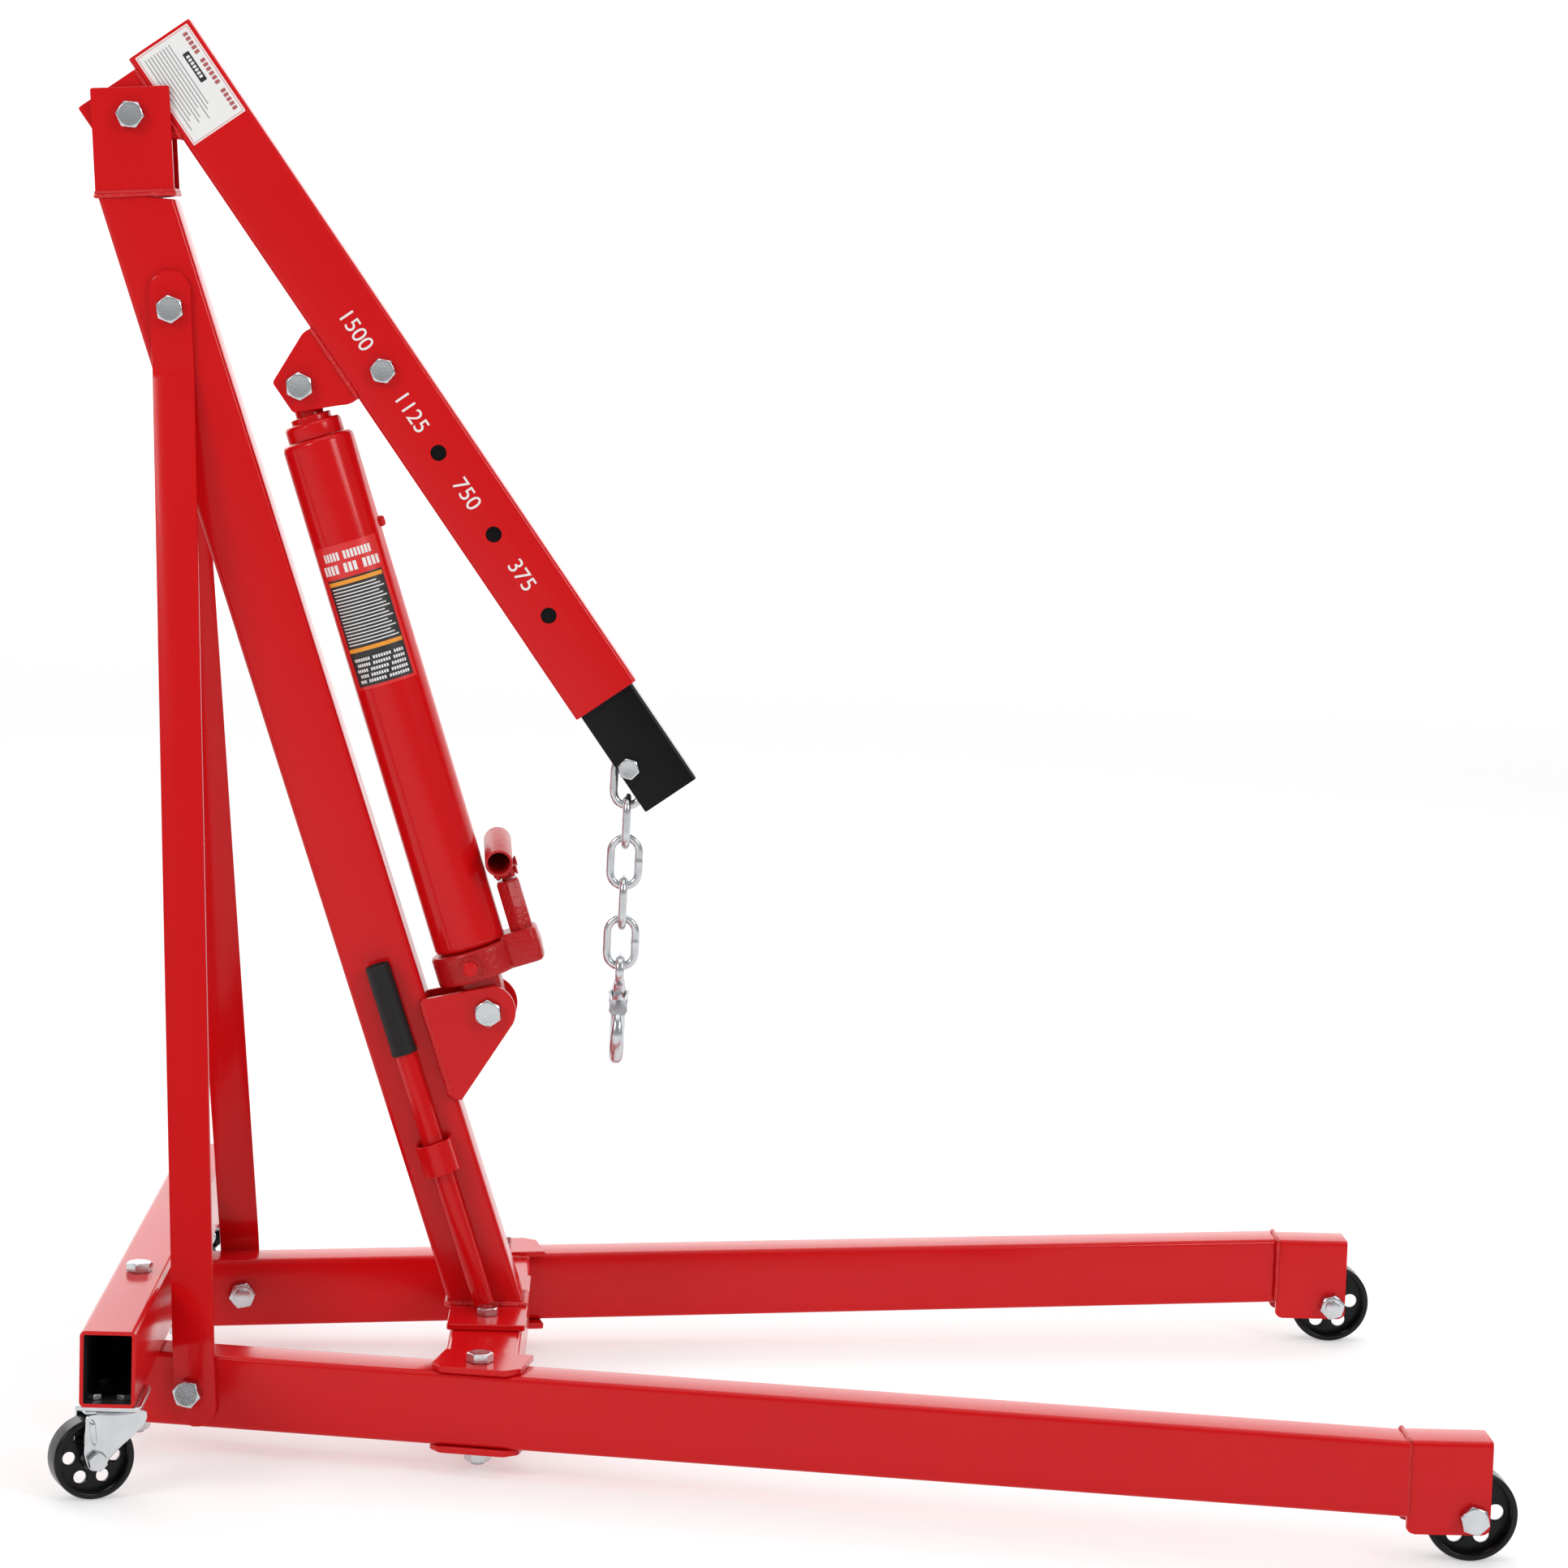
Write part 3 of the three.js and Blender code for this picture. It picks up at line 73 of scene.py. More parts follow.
def turn(axis, degrees):
    """Right-hand rotation: the two other axes turn by cosine and sine of the angle."""
    c, s = math.cos(math.radians(degrees)), math.sin(math.radians(degrees))
    i, j = {"x": (1, 2), "y": (2, 0), "z": (0, 1)}[axis]
    m = np.eye(4)
    m[i, i], m[i, j], m[j, i], m[j, j] = c, -s, s, c
    return m


def carried(m, points):
    """Matrix times each point, as one array product."""
    points = np.asarray(points, float)
    return points @ m[:3, :3].T + m[:3, 3]


# %% Frame of the whole crane
FRONT_AXLE_X = 1231
FRAME_RISE = math.degrees(math.atan2(21.2, FRONT_AXLE_X + 20))
BEAM_BOTTOM, BEAM_TOP = 113.3, 183.3
low, high = (np.array(v) * 1000 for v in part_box("rear_cross_beam"))
tilt = turn("y", -FRAME_RISE)
beam_centre = carried(tilt, [[0, 0, (BEAM_BOTTOM + BEAM_TOP) / 2]])[0]
CRANE = shift(*((low + high) / 2 - beam_centre)) @ tilt

# %% Frames of the mast, the boom, the jack and the chain
LEAN, SPLAY, BOOM_ANGLE, HEAD_LEAN = 18.53, 11.1, 54.5, 3.7
MAST_FOOT_X, MAST_FOOT_Z, MAST_TOP_Z = 323, 119.6, 1196


def mast_x(z):
    """Foot position minus the height times the tangent of the lean."""
    return MAST_FOOT_X - (z - MAST_FOOT_Z) * math.tan(math.radians(LEAN))


def leg_y(x):
    """Half spacing at the rear bolts plus the distance times the tangent of the splay."""
    return 188 + x * math.tan(math.radians(SPLAY))


def leg_frame(side, x):
    """At a point of a leg's centre line, with x along the leg."""
    return CRANE @ shift(x, side * leg_y(x), 0) @ turn("z", side * SPLAY)


MAST = CRANE @ shift(MAST_FOOT_X, 0, MAST_FOOT_Z) @ turn("y", -LEAN)
HEAD = CRANE @ shift(mast_x(MAST_TOP_Z), 0, MAST_TOP_Z) @ turn("y", -HEAD_LEAN)
BOOM = HEAD @ shift(0, 0, 76.5) @ turn("y", BOOM_ANGLE + HEAD_LEAN)
RAM_PIN = (302.6, -13)
CHAIN_BOLT = (788, 42.6)
JACK_FOOT = (318.5, 413.5)
pin = carried(np.linalg.inv(CRANE) @ BOOM, [[RAM_PIN[0], 0, RAM_PIN[1]]])[0]
JACK_LEAN = math.degrees(math.atan2(JACK_FOOT[0] - pin[0], pin[2] - JACK_FOOT[1]))
JACK_LENGTH = math.hypot(JACK_FOOT[0] - pin[0], pin[2] - JACK_FOOT[1])
JACK = CRANE @ shift(JACK_FOOT[0], 0, JACK_FOOT[1]) @ turn("y", -JACK_LEAN)
CHAIN = BOOM @ shift(CHAIN_BOLT[0], 0, CHAIN_BOLT[1]) @ turn("y", -BOOM_ANGLE + FRAME_RISE)
print("jack lean %.2f degrees, pin to pin %.1f mm" % (JACK_LEAN, JACK_LENGTH))

# %% [markdown]
# ## Finishes
# The frame has a thick glossy enamel, so its base is a smooth dielectric with a clear coat, a
# faint colour drift and a very low orange-peel bump. The zinc is a metal with a soft spangle.
# Noise on Object coordinates is used throughout, because every piece lies in one shared space.


# %% A helper for procedural materials
def finish(name, colour, second, roughness, metallic=0.0, coat=0.0, bump=0.02, grain=350.0, drift=9.0,
           mirror=0.5):
    """Colour is a mix of two tones by slow noise; height is fast noise times the bump strength."""
    material = bpy.data.materials.new(name)
    material.use_nodes = True
    tree = material.node_tree
    tree.nodes.clear()
    out = tree.nodes.new("ShaderNodeOutputMaterial")
    shader = tree.nodes.new("ShaderNodeBsdfPrincipled")
    place = tree.nodes.new("ShaderNodeTexCoord")
    slow = tree.nodes.new("ShaderNodeTexNoise")
    slow.inputs["Scale"].default_value = drift
    slow.inputs["Detail"].default_value = 4.0
    tones = tree.nodes.new("ShaderNodeMix")
    tones.data_type = "RGBA"
    tones.inputs[6].default_value = (*colour, 1)
    tones.inputs[7].default_value = (*second, 1)
    fast = tree.nodes.new("ShaderNodeTexNoise")
    fast.inputs["Scale"].default_value = grain
    fast.inputs["Detail"].default_value = 2.0
    gloss = tree.nodes.new("ShaderNodeMapRange")
    gloss.inputs["To Min"].default_value = max(roughness - 0.05, 0.02)
    gloss.inputs["To Max"].default_value = roughness + 0.08
    relief = tree.nodes.new("ShaderNodeBump")
    relief.inputs["Strength"].default_value = bump
    relief.inputs["Distance"].default_value = 0.001
    link = tree.links.new
    link(place.outputs["Object"], slow.inputs["Vector"])
    link(place.outputs["Object"], fast.inputs["Vector"])
    link(slow.outputs["Fac"], tones.inputs[0])
    link(slow.outputs["Fac"], gloss.inputs["Value"])
    link(tones.outputs[2], shader.inputs["Base Color"])
    link(gloss.outputs["Result"], shader.inputs["Roughness"])
    link(fast.outputs["Fac"], relief.inputs["Height"])
    link(relief.outputs["Normal"], shader.inputs["Normal"])
    link(shader.outputs["BSDF"], out.inputs["Surface"])
    shader.inputs["Metallic"].default_value = metallic
    shader.inputs["Coat Weight"].default_value = coat
    shader.inputs["Specular IOR Level"].default_value = mirror
    shader.inputs["Coat Roughness"].default_value = 0.05
    return material


# %% The finishes of this crane
RED = finish("red enamel", (0.60, 0.005, 0.007), (0.55, 0.004, 0.006), 0.15, coat=0.06, bump=0.04,
             mirror=0.2)
CAST = finish("red casting", (0.50, 0.006, 0.008), (0.38, 0.004, 0.006), 0.30, coat=0.1, bump=1.0,
              grain=230.0, drift=40.0, mirror=0.3)
WELD = finish("painted weld", (0.60, 0.006, 0.008), (0.50, 0.004, 0.006), 0.28, coat=0.1, bump=0.5,
              grain=500.0, drift=60.0, mirror=0.4)
BLACK = finish("black enamel", (0.004, 0.004, 0.005), (0.009, 0.009, 0.010), 0.14, coat=0.0, bump=0.06,
               mirror=0.12)
WHEEL = finish("black wheel paint", (0.005, 0.005, 0.006), (0.010, 0.010, 0.011), 0.22, coat=0.0, bump=0.12,
               mirror=0.2)
# The near-black inner walls of the tubes are painted shade, the dark of a deep hollow, not a colour of the
# steel.
PAINTED_SHADE_INSIDE = finish("painted shade inside tubes", (0.012, 0.010, 0.010), (0.022, 0.016, 0.015), 0.6, bump=0.2)
ZINC = finish("bright zinc", (0.66, 0.68, 0.70), (0.52, 0.54, 0.56), 0.20, metallic=1.0, bump=0.14,
              grain=700.0, drift=70.0)
GRIP = finish("matte grip", (0.006, 0.006, 0.007), (0.011, 0.011, 0.012), 0.55, bump=0.5, grain=900.0,
              mirror=0.3)
PAPER = finish("white label", (0.80, 0.80, 0.79), (0.74, 0.74, 0.73), 0.38, bump=0.03)
INK = finish("grey print", (0.30, 0.29, 0.29), (0.24, 0.23, 0.23), 0.45, bump=0.02)
DARK_INK = finish("black print", (0.012, 0.012, 0.013), (0.02, 0.02, 0.02), 0.40, bump=0.02)
RED_INK = finish("red print", (0.70, 0.02, 0.02), (0.62, 0.02, 0.02), 0.35, bump=0.02)
FADED_INK = finish("faded red print", (0.42, 0.10, 0.10), (0.36, 0.08, 0.08), 0.45, bump=0.02)
AMBER_INK = finish("amber print", (0.85, 0.33, 0.02), (0.78, 0.28, 0.02), 0.45, bump=0.02)
print("finishes:", len([m for m in bpy.data.materials if m.use_nodes]))

# %% [markdown]
# ## Surfaces on a grid
# Nearly every piece is a closed loop of points carried through a row of stations. The loops
# make a grid, and the grid's squares are the faces. A loop may shrink to a point, which closes
# the end like a pole, or the last station may join the first, which makes a ring.


# %% Grids, loops and lathes
def grid_faces(rows, columns, ring=False):
    """Square k joins points (r, c), (r, c+1), (r+1, c+1), (r+1, c); columns always wrap."""
    r = np.arange(rows if ring else rows - 1)[:, None]
    c = np.arange(columns)[None, :]
    after_r, after_c = (r + 1) % rows, (c + 1) % columns
    return np.stack(
        [r * columns + c, r * columns + after_c, after_r * columns + after_c, after_r * columns + c], -1
    ).reshape(-1, 4).tolist()


def carried_loops(loops, ring=False):
    """Stations x points x 3 array to (points, faces); open ends are closed by flat caps."""
    loops = np.asarray(loops, float)
    rows, columns = loops.shape[:2]
    faces = grid_faces(rows, columns, ring)
    if not ring:
        faces.append(list(range(columns)))
        faces.append(list(range((rows - 1) * columns, rows * columns))[::-1])
    return loops.reshape(-1, 3), faces


def lathe(profile, count=48, ring=False, cut=None):
    """Radius and height of each profile point, turned: x = r cos t, y = r sin t, z = height.
    cut, if given, is a function of (angle, height) that limits the radius."""
    profile = np.asarray(profile, float)
    angle = np.linspace(0, 2 * np.pi, count, endpoint=False)
    r = np.repeat(profile[:, :1], count, 1)
    z = np.repeat(profile[:, 1:], count, 1)
    if cut is not None:
        r = np.minimum(r, cut(angle[None, :], z))
    loops = np.stack([r * np.cos(angle), r * np.sin(angle), z], -1)
    return carried_loops(loops, ring)


def rounded(profile, radius=0.6, steps=3):
    """Each corner is replaced by a quadratic curve between points at the given distance from it."""
    points = [np.asarray(p, float) for p in profile]
    out = [points[0]]
    for before, corner, after in zip(points, points[1:], points[2:]):
        a, b = before - corner, after - corner
        la, lb = np.linalg.norm(a), np.linalg.norm(b)
        reach = min(radius, la / 2, lb / 2)
        start, end = corner + a / la * reach, corner + b / lb * reach
        for t in np.linspace(0, 1, steps + 1):
            out.append((1 - t) ** 2 * start + 2 * t * (1 - t) * corner + t ** 2 * end)
    out.append(points[-1])
    return np.array(out)


def rounded_rectangle(width, height, radius, steps=5):
    """Four quarter circles, each centred a radius in from its corner."""
    quarters = []
    for k, (sx, sy) in enumerate([(1, 1), (-1, 1), (-1, -1), (1, -1)]):
        t = np.linspace(0, np.pi / 2, steps + 1) + k * np.pi / 2
        centre = np.array([sx * (width / 2 - radius), sy * (height / 2 - radius)])
        quarters.append(centre + radius * np.stack([np.cos(t), np.sin(t)], -1))
    return np.concatenate(quarters)


# %% [markdown]
# ## Bent, welded and punched stock
# Rectangular tube is one ring of loops: outside, round the rim, inside and back. Punched plate
# is an outline with holes; its flat faces are filled by triangles and its rims are softened.


# %% Rectangular tube
def tube(width, height, wall, start, end, corner=5.0, centre=(0, 0)):
    """Along x. Outer loop, rim, inner loop and back. start and end give x for arrays y, z."""
    outer = rounded_rectangle(width, height, corner)
    lip = rounded_rectangle(width - 1.0, height - 1.0, corner - 0.5)
    inner = rounded_rectangle(width - 2 * wall, height - 2 * wall, max(corner - wall, 0.8))
    rows = []
    for loop, edge, inset in [
        (outer, start, 0.5), (outer, end, -0.5), (lip, end, 0.0), (inner, end, 0.0),
        (inner, end, -0.6), (inner, start, 0.6), (inner, start, 0.0), (lip, start, 0.0),
    ]:
        y, z = loop[:, 0] + centre[0], loop[:, 1] + centre[1]
        rows.append(np.stack([edge(y, z) + inset, y, z], -1))
    points, faces = carried_loops(rows, ring=True)
    count = len(outer)
    # Faces of the long inner wall take material slot 1, the near-black painted shade of the tube's inside.
    kinds = [1 if 4 * count <= k < 5 * count else 0 for k in range(len(faces))]
    return points, faces, kinds


def flat(x):
    """An end cut square: the same x everywhere."""
    return lambda y, z: np.full_like(y, float(x))


# %% Punched plate
def inward(loop, distance):
    """Each point moves along the bisector of its two edges, by distance over the sine of half
    the corner angle."""
    edge = np.roll(loop, -1, 0) - loop
    edge = edge / np.linalg.norm(edge, axis=1, keepdims=True)
    normal = np.stack([-edge[:, 1], edge[:, 0]], -1)
    bisector = normal + np.roll(normal, 1, 0)
    length = np.maximum((bisector ** 2).sum(1, keepdims=True), 0.3)
    return loop + 2 * distance * bisector / length


def wound(loop, sign):
    """The loop in the turning sense of the sign of its area."""
    x, y = loop[:, 0], loop[:, 1]
    area = (x * np.roll(y, -1) - y * np.roll(x, -1)).sum()
    return loop if area * sign > 0 else loop[::-1]


def plate(outline, thickness, holes=(), soft=0.6):
    """In XY, from z 0 to the thickness. Rims are two chamfered rings; faces are triangle fills."""
    loops = [wound(np.asarray(outline, float), 1)] + [wound(np.asarray(h, float), -1) for h in holes]
    points, faces, caps = [], [], {0: [], 1: []}
    for loop in loops:
        count, base = len(loop), sum(len(p) for p in points)
        small = inward(loop, soft)
        for ring, z in [(small, 0), (loop, soft), (loop, thickness - soft), (small, thickness)]:
            points.append(np.column_stack([ring, np.full(count, float(z))]))
        faces += [[base + k for k in face] for face in grid_faces(4, count)]
        caps[0].append((base, small))
        caps[1].append((base + 3 * count, small))
    for groups in caps.values():
        numbers = [base + k for base, ring in groups for k in range(len(ring))]
        fill = tessellate_polygon([[Vector((x, y, 0)) for x, y in ring] for _, ring in groups])
        faces += [[numbers[k] for k in triangle] for triangle in fill]
    return np.concatenate(points), faces


def circle(radius, x=0.0, y=0.0, count=32):
    """x + r cos t, y + r sin t."""
    t = np.linspace(0, 2 * np.pi, count, endpoint=False)
    return np.column_stack([x + radius * np.cos(t), y + radius * np.sin(t)])


def soft_outline(points, radius, steps=5):
    """A closed outline with every corner rounded by the same quadratic curve."""
    points = [np.asarray(p, float) for p in points]
    closed = [(points[-1] + points[0]) / 2] + points + [(points[-1] + points[0]) / 2]
    return rounded(closed, radius, steps)[:-1]


def moved(shape, m):
    """A shape carried by a matrix."""
    return (carried(m, shape[0]), *shape[1:])


def cheek(outline, y0, y1, holes=(), soft=0.6):
    """A plate standing in XZ between y0 and y1: its x and y become x and z."""
    return moved(plate(outline, y1 - y0, holes, soft), shift(0, y1, 0) @ turn("x", 90))


# %% [markdown]
# ## Sweeps and welds
# A chain link, a hook and a weld bead are all a section carried along a curve. At each point
# the section stands square to the curve, and its size may change along the way.


# %% Sweep along a curve
def sweep(path, radii, across, count=16, ring=False, power=2.0):
    """Section = side * a * cos t + across * b * sin t, with a, b along the path; the exponent
    2/power squares it off. side is across crossed with the path's tangent."""
    path = np.asarray(path, float)
    if ring:
        tangent = np.roll(path, -1, 0) - np.roll(path, 1, 0)
    else:
        tangent = np.gradient(path, axis=0)
    tangent /= np.linalg.norm(tangent, axis=1, keepdims=True)
    across = np.broadcast_to(np.asarray(across, float), path.shape)
    side = np.cross(across, tangent)
    side /= np.linalg.norm(side, axis=1, keepdims=True)
    across = np.cross(tangent, side)
    radii = np.broadcast_to(np.asarray(radii, float), (len(path), 2))
    t = np.linspace(0, 2 * np.pi, count, endpoint=False)
    ct, st = np.cos(t), np.sin(t)
    ct = np.sign(ct) * np.abs(ct) ** (2 / power)
    st = np.sign(st) * np.abs(st) ** (2 / power)
    loops = (path[:, None] + side[:, None] * (radii[:, :1] * ct)[..., None]
             + across[:, None] * (radii[:, 1:] * st)[..., None])
    return carried_loops(loops, ring)


def resampled(corners, step, ring=False):
    """Points at equal distances along a polyline, by interpolating each coordinate."""
    corners = np.asarray(corners, float)
    if ring:
        corners = np.concatenate([corners, corners[:1]])
    length = np.concatenate([[0], np.cumsum(np.linalg.norm(np.diff(corners, axis=0), axis=1))])
    at = np.linspace(0, length[-1], max(int(length[-1] / step), 4) + 1)
    if ring:
        at = at[:-1]
    return np.stack([np.interp(at, length, corners[:, k]) for k in range(3)], -1)


def weld(corners, radius=2.2, ring=False, seed=0):
    """A bead: radius times 1 + ripple, where the ripple is the sine of distance over pitch plus
    a little random swell; open ends taper to nothing."""
    path = resampled(corners, 1.0, ring)
    count = len(path)
    draw = np.random.default_rng(seed)
    swell = np.interp(np.arange(count), np.linspace(0, count, max(count // 7, 3)),
                      draw.uniform(-0.22, 0.22, max(count // 7, 3)))
    if ring:
        swell *= np.minimum(1, np.minimum(np.arange(count), np.arange(count)[::-1]) / 8)
    size = radius * (1 + 0.14 * np.abs(np.sin(np.arange(count) * np.pi / 3.4)) + swell)
    if not ring:
        ends = np.minimum(np.arange(count), np.arange(count)[::-1]) / 4.0
        size *= np.sqrt(np.clip(ends, 0.02, 1))
    tangent = np.gradient(path, axis=0)
    across = np.where(np.abs(tangent[:, 2:]) > 0.7 * np.linalg.norm(tangent, axis=1, keepdims=True),
                      [[1.0, 0.0, 0.0]], [[0.0, 0.0, 1.0]])
    return sweep(path, np.stack([size, size], -1), across, 10, ring)


# %% [markdown]
# ## From arrays to a Blender object
# One helper joins the shapes of a piece, carries them to their place, and hands them to the
# mesh as whole arrays. It also says which body the piece rides on and what it stands for.


# %% Make a finished piece
def piece(name, shapes, place, materials, body, stands_for=(), sharp=32):
    """Points are the shapes' own points times the place matrix, in metres."""
    points, faces, kinds, base = [], [], [], 0
    for shape in shapes:
        points.append(shape[0])
        faces += [[base + k for k in face] for face in shape[1]]
        kinds += list(shape[2]) if len(shape) > 2 else [0] * len(shape[1])
        base += len(shape[0])
    name = name.replace(" ", "_")
    mesh = bpy.data.meshes.new(name)
    mesh.from_pydata((carried(place, np.concatenate(points)) / 1000).tolist(), [], faces)
    mesh.polygons.foreach_set("material_index", np.array(kinds, np.int32))
    for material in materials if isinstance(materials, (list, tuple)) else [materials]:
        mesh.materials.append(material)
    work = bmesh.new()
    work.from_mesh(mesh)
    bmesh.ops.remove_doubles(work, verts=work.verts, dist=1e-6)
    bmesh.ops.recalc_face_normals(work, faces=work.faces)
    work.to_mesh(mesh)
    work.free()
    mesh.polygons.foreach_set("use_smooth", np.ones(len(mesh.polygons), bool))
    mesh.set_sharp_from_angle(angle=math.radians(sharp))
    obj = bpy.data.objects.new(name, mesh)
    bpy.context.scene.collection.objects.link(obj)
    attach(obj, body)
    if stands_for:
        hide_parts(*stands_for)
    return obj


# %% [markdown]
# ## Bolts
# The bolts are the brightest detail on the crane. A real hexagon head is turned on a lathe, so
# its corners are cut by a cone, and its top shows a round flat. The radius is therefore the
# smaller of two functions, the hexagon's and the cone's.


# %% Hexagon bolt with nut
def hexagon(flats):
    """Half the width across flats, over the cosine of the angle from the nearest flat."""
    return lambda t: flats / 2 / np.cos((t + np.pi / 6) % (np.pi / 3) - np.pi / 6)


def bolt(flats, shank, head, nut, grip, tail=3.0, only=None):
    """Head above z = 0, nut below z = -grip, as one turned surface. only='head' or 'nut' gives
    an end piece whose shank is short."""
    face = flats / 2 * 0.96
    hexa = hexagon(flats)
    top = GAP + head
    nut_top, nut_low = -grip - GAP, -grip - GAP - nut
    cone = lambda z, edge: face + np.abs(edge - z) * 1.75

    def cut(t, z):
        """The hexagon, cut by a cone at each chamfered edge."""
        r = np.broadcast_to(hexa(t), z.shape)
        r = np.where(z > -grip / 2, np.minimum(r, cone(z, top)), r)
        low_half = z <= -grip / 2
        return np.where(low_half, np.minimum(np.minimum(r, cone(z, nut_low)), cone(z, nut_top)), r)

    rows = [(0, top - 0.25), (face * 0.55, top - 0.25), (face * 0.9, top), (face, top)]
    rows += [(flats, top - d) for d in (0.05, 0.3, 0.6, 0.9, 1.3, 1.8)]
    rows += [(flats, GAP + 0.9), (flats, GAP + 0.6), (face * 0.97, GAP + 0.6), (face * 0.97, GAP)]
    rows += [(shank, GAP)]
    rows += [(shank, nut_top), (face, nut_top)]
    rows += [(flats, nut_top - d) for d in (0.05, 0.4, 0.9, 1.5)]
    rows += [(flats, nut_low + d) for d in (1.5, 0.9, 0.4, 0.05)]
    rows += [(face, nut_low), (shank, nut_low)]
    steps = max(int(tail / 0.4), 3)
    rows += [(shank - 0.45 * (k % 3) / 2, nut_low - tail * k / steps) for k in range(1, steps)]
    rows += [(shank - 0.9, nut_low - tail), (0, nut_low - tail)]
    if only == "head":
        rows = rows[:15] + [(shank, -4.0), (0, -4.0)]
    if only == "nut":
        start = next(k for k, row in enumerate(rows) if row == (shank, nut_top))
        rows = [(0, nut_top + 4.0), (shank, nut_top + 4.0)] + rows[start:]
    return lathe(rows, 60, cut=cut)


M10 = dict(flats=16, shank=5, head=6.4, nut=8)
M12 = dict(flats=19, shank=6, head=7.5, nut=10)
M14 = dict(flats=22, shank=7, head=8.8, nut=11.5)
M16 = dict(flats=24, shank=8, head=10, nut=13)


def cross_bolt(size, half_grip, side, x, z, spin=0):
    """A bolt along Y with its head on the given side."""
    return moved(bolt(**size, grip=2 * half_grip),
                 shift(x, side * half_grip, z) @ turn("x", -side * 90) @ turn("z", spin))


# %% Bolts of the base and the mast
for name, side in SIDES.items():
    upright = [
        ("beam_bolt_", M14, (0, side * 188, BEAM_TOP), BEAM_TOP - 43, 12),
        ("clamp_bolt_", M14, (326, side * leg_y(326), 119.3), 82.6, 25),
        ("foot_bolt_", M12, (326, side * 66, 119.6), 76.9, 8),
    ]
    for prefix, size, at, grip, spin in upright:
        shape = moved(bolt(**size, grip=grip), shift(*at) @ turn("z", spin * side))
        piece("finished " + prefix + name, [shape], CRANE, ZINC, "frame_body", [prefix + name])
    foot = moved(bolt(**M16, grip=56.3), shift(0, side * 31.3, 78) @ turn("x", -side * 90) @ turn("z", 20))
    piece("finished brace foot bolt " + name, [foot], leg_frame(side, 58.8), ZINC, "frame_body",
          ["brace_foot_bolt_" + name])
    axle = cross_bolt(M16, 25, side, FRONT_AXLE_X, 42.5, 14)
    piece("finished front axle " + name, [axle], CRANE @ shift(0, side * 414, 0), ZINC, "frame_body",
          ["front_axle_bolt_" + name])
BRACE_TOP_Z = 1088.6
piece("finished brace top bolt", [cross_bolt(M16, 31.3, -1, mast_x(BRACE_TOP_Z), BRACE_TOP_Z, 9)], CRANE,
      ZINC, "frame_body", ["brace_top_bolt"])
piece("finished boom pivot bolt", [cross_bolt(M16, 26.5, -1, 0, 76.5, 22)], HEAD, ZINC, "frame_body",
      ["boom_pivot_bolt"])
piece("finished jack foot bolt", [cross_bolt(M16, 31.3, -1, *JACK_FOOT, 5)], CRANE, ZINC, "frame_body",
      ["jack_foot_bolt"])

# %% Bolts of the boom
piece("finished lock bolt", [cross_bolt(M14, 20, -1, 335, 62, 16)], BOOM, ZINC, "boom_body",
      ["boom_lock_bolt"])
piece("finished chain bolt", [cross_bolt(M12, 15, -1, *CHAIN_BOLT, 10)], BOOM, ZINC, "extension_body",
      ["chain_bolt"])
ram_place = shift(RAM_PIN[0], -20, RAM_PIN[1]) @ turn("x", 90)
piece("finished ram pin head", [moved(bolt(**M16, grip=40, only="head"), ram_place)], BOOM, ZINC,
      "boom_body", ["ram_pin_head"])
piece("finished ram pin nut", [moved(bolt(**M16, grip=40, only="nut"), ram_place)], BOOM, ZINC,
      "boom_body", ["ram_pin_nut"])

# %% [markdown]
# ## The base frame
# The rear beam and the legs are rolled rectangular tube with rounded corners, cut to length.
# The legs' front ends are cut square to the wheels, not to the leg, so the end is a slanted
# plane: its x depends on y.

# %% Rear beam and legs
beam = tube(50, 70, 3.5, flat(-428), flat(428), centre=(0, 148.3))
beam = moved(beam, turn("z", 90))
piece("finished rear beam", [beam], CRANE, [RED, PAINTED_SHADE_INSIDE], "frame_body", ["rear_cross_beam"])
SLANT = math.tan(math.radians(SPLAY))
for name, side in SIDES.items():
    front = lambda y, z, side=side: 1170 / math.cos(math.radians(SPLAY)) + side * y * SLANT
    leg = tube(50, 70, 3.5, flat(-34), front, centre=(0, 78))
    piece("finished leg " + name, [leg], leg_frame(side, 0), [RED, PAINTED_SHADE_INSIDE], "frame_body",
          ["leg_" + name])


# %% Front cross member with its clamp plates
CROSS_X = 326


def tapered(sign):
    """An end that follows a leg's inner face: the leg's centre line less half its width across."""
    half = 25 / math.cos(math.radians(SPLAY)) + GAP
    return lambda y, z: sign * (leg_y(CROSS_X) - half - SLANT * y)


cross = tube(70, 70.6, 4, tapered(-1), tapered(1), centre=(0, 78))
cross = moved(cross, shift(CROSS_X, 0, 0) @ turn("z", 90))
clamp_shapes = [cross]
clamp_outline = soft_outline([(-43, -40), (43, -40), (43, 16), (31, 28), (-31, 28), (-43, 16)], 3)
for side in SIDES.values():
    place = shift(CROSS_X, side * leg_y(CROSS_X), 0) @ turn("z", side * SPLAY)
    loop = clamp_outline * np.array([1, side])
    for z0 in (36.7, 113.3):
        clamp_shapes.append(moved(plate(loop, 6, soft=0.8), place @ shift(0, 0, z0)))
piece("finished cross member", clamp_shapes, CRANE, [RED, PAINTED_SHADE_INSIDE], "frame_body",
      ["front_cross_member"])
beads = []
for side in SIDES.values():
    edge = side * (leg_y(CROSS_X) - 41)
    beads.append(weld([(292, edge, 113.6), (360, edge, 113.6)], 2.6, seed=3 + side))
    beads.append(weld([(292, edge, 42.4), (360, edge, 42.4)], 2.6, seed=6 + side))
piece("cross member welds", beads, CRANE, WELD, "frame_body")

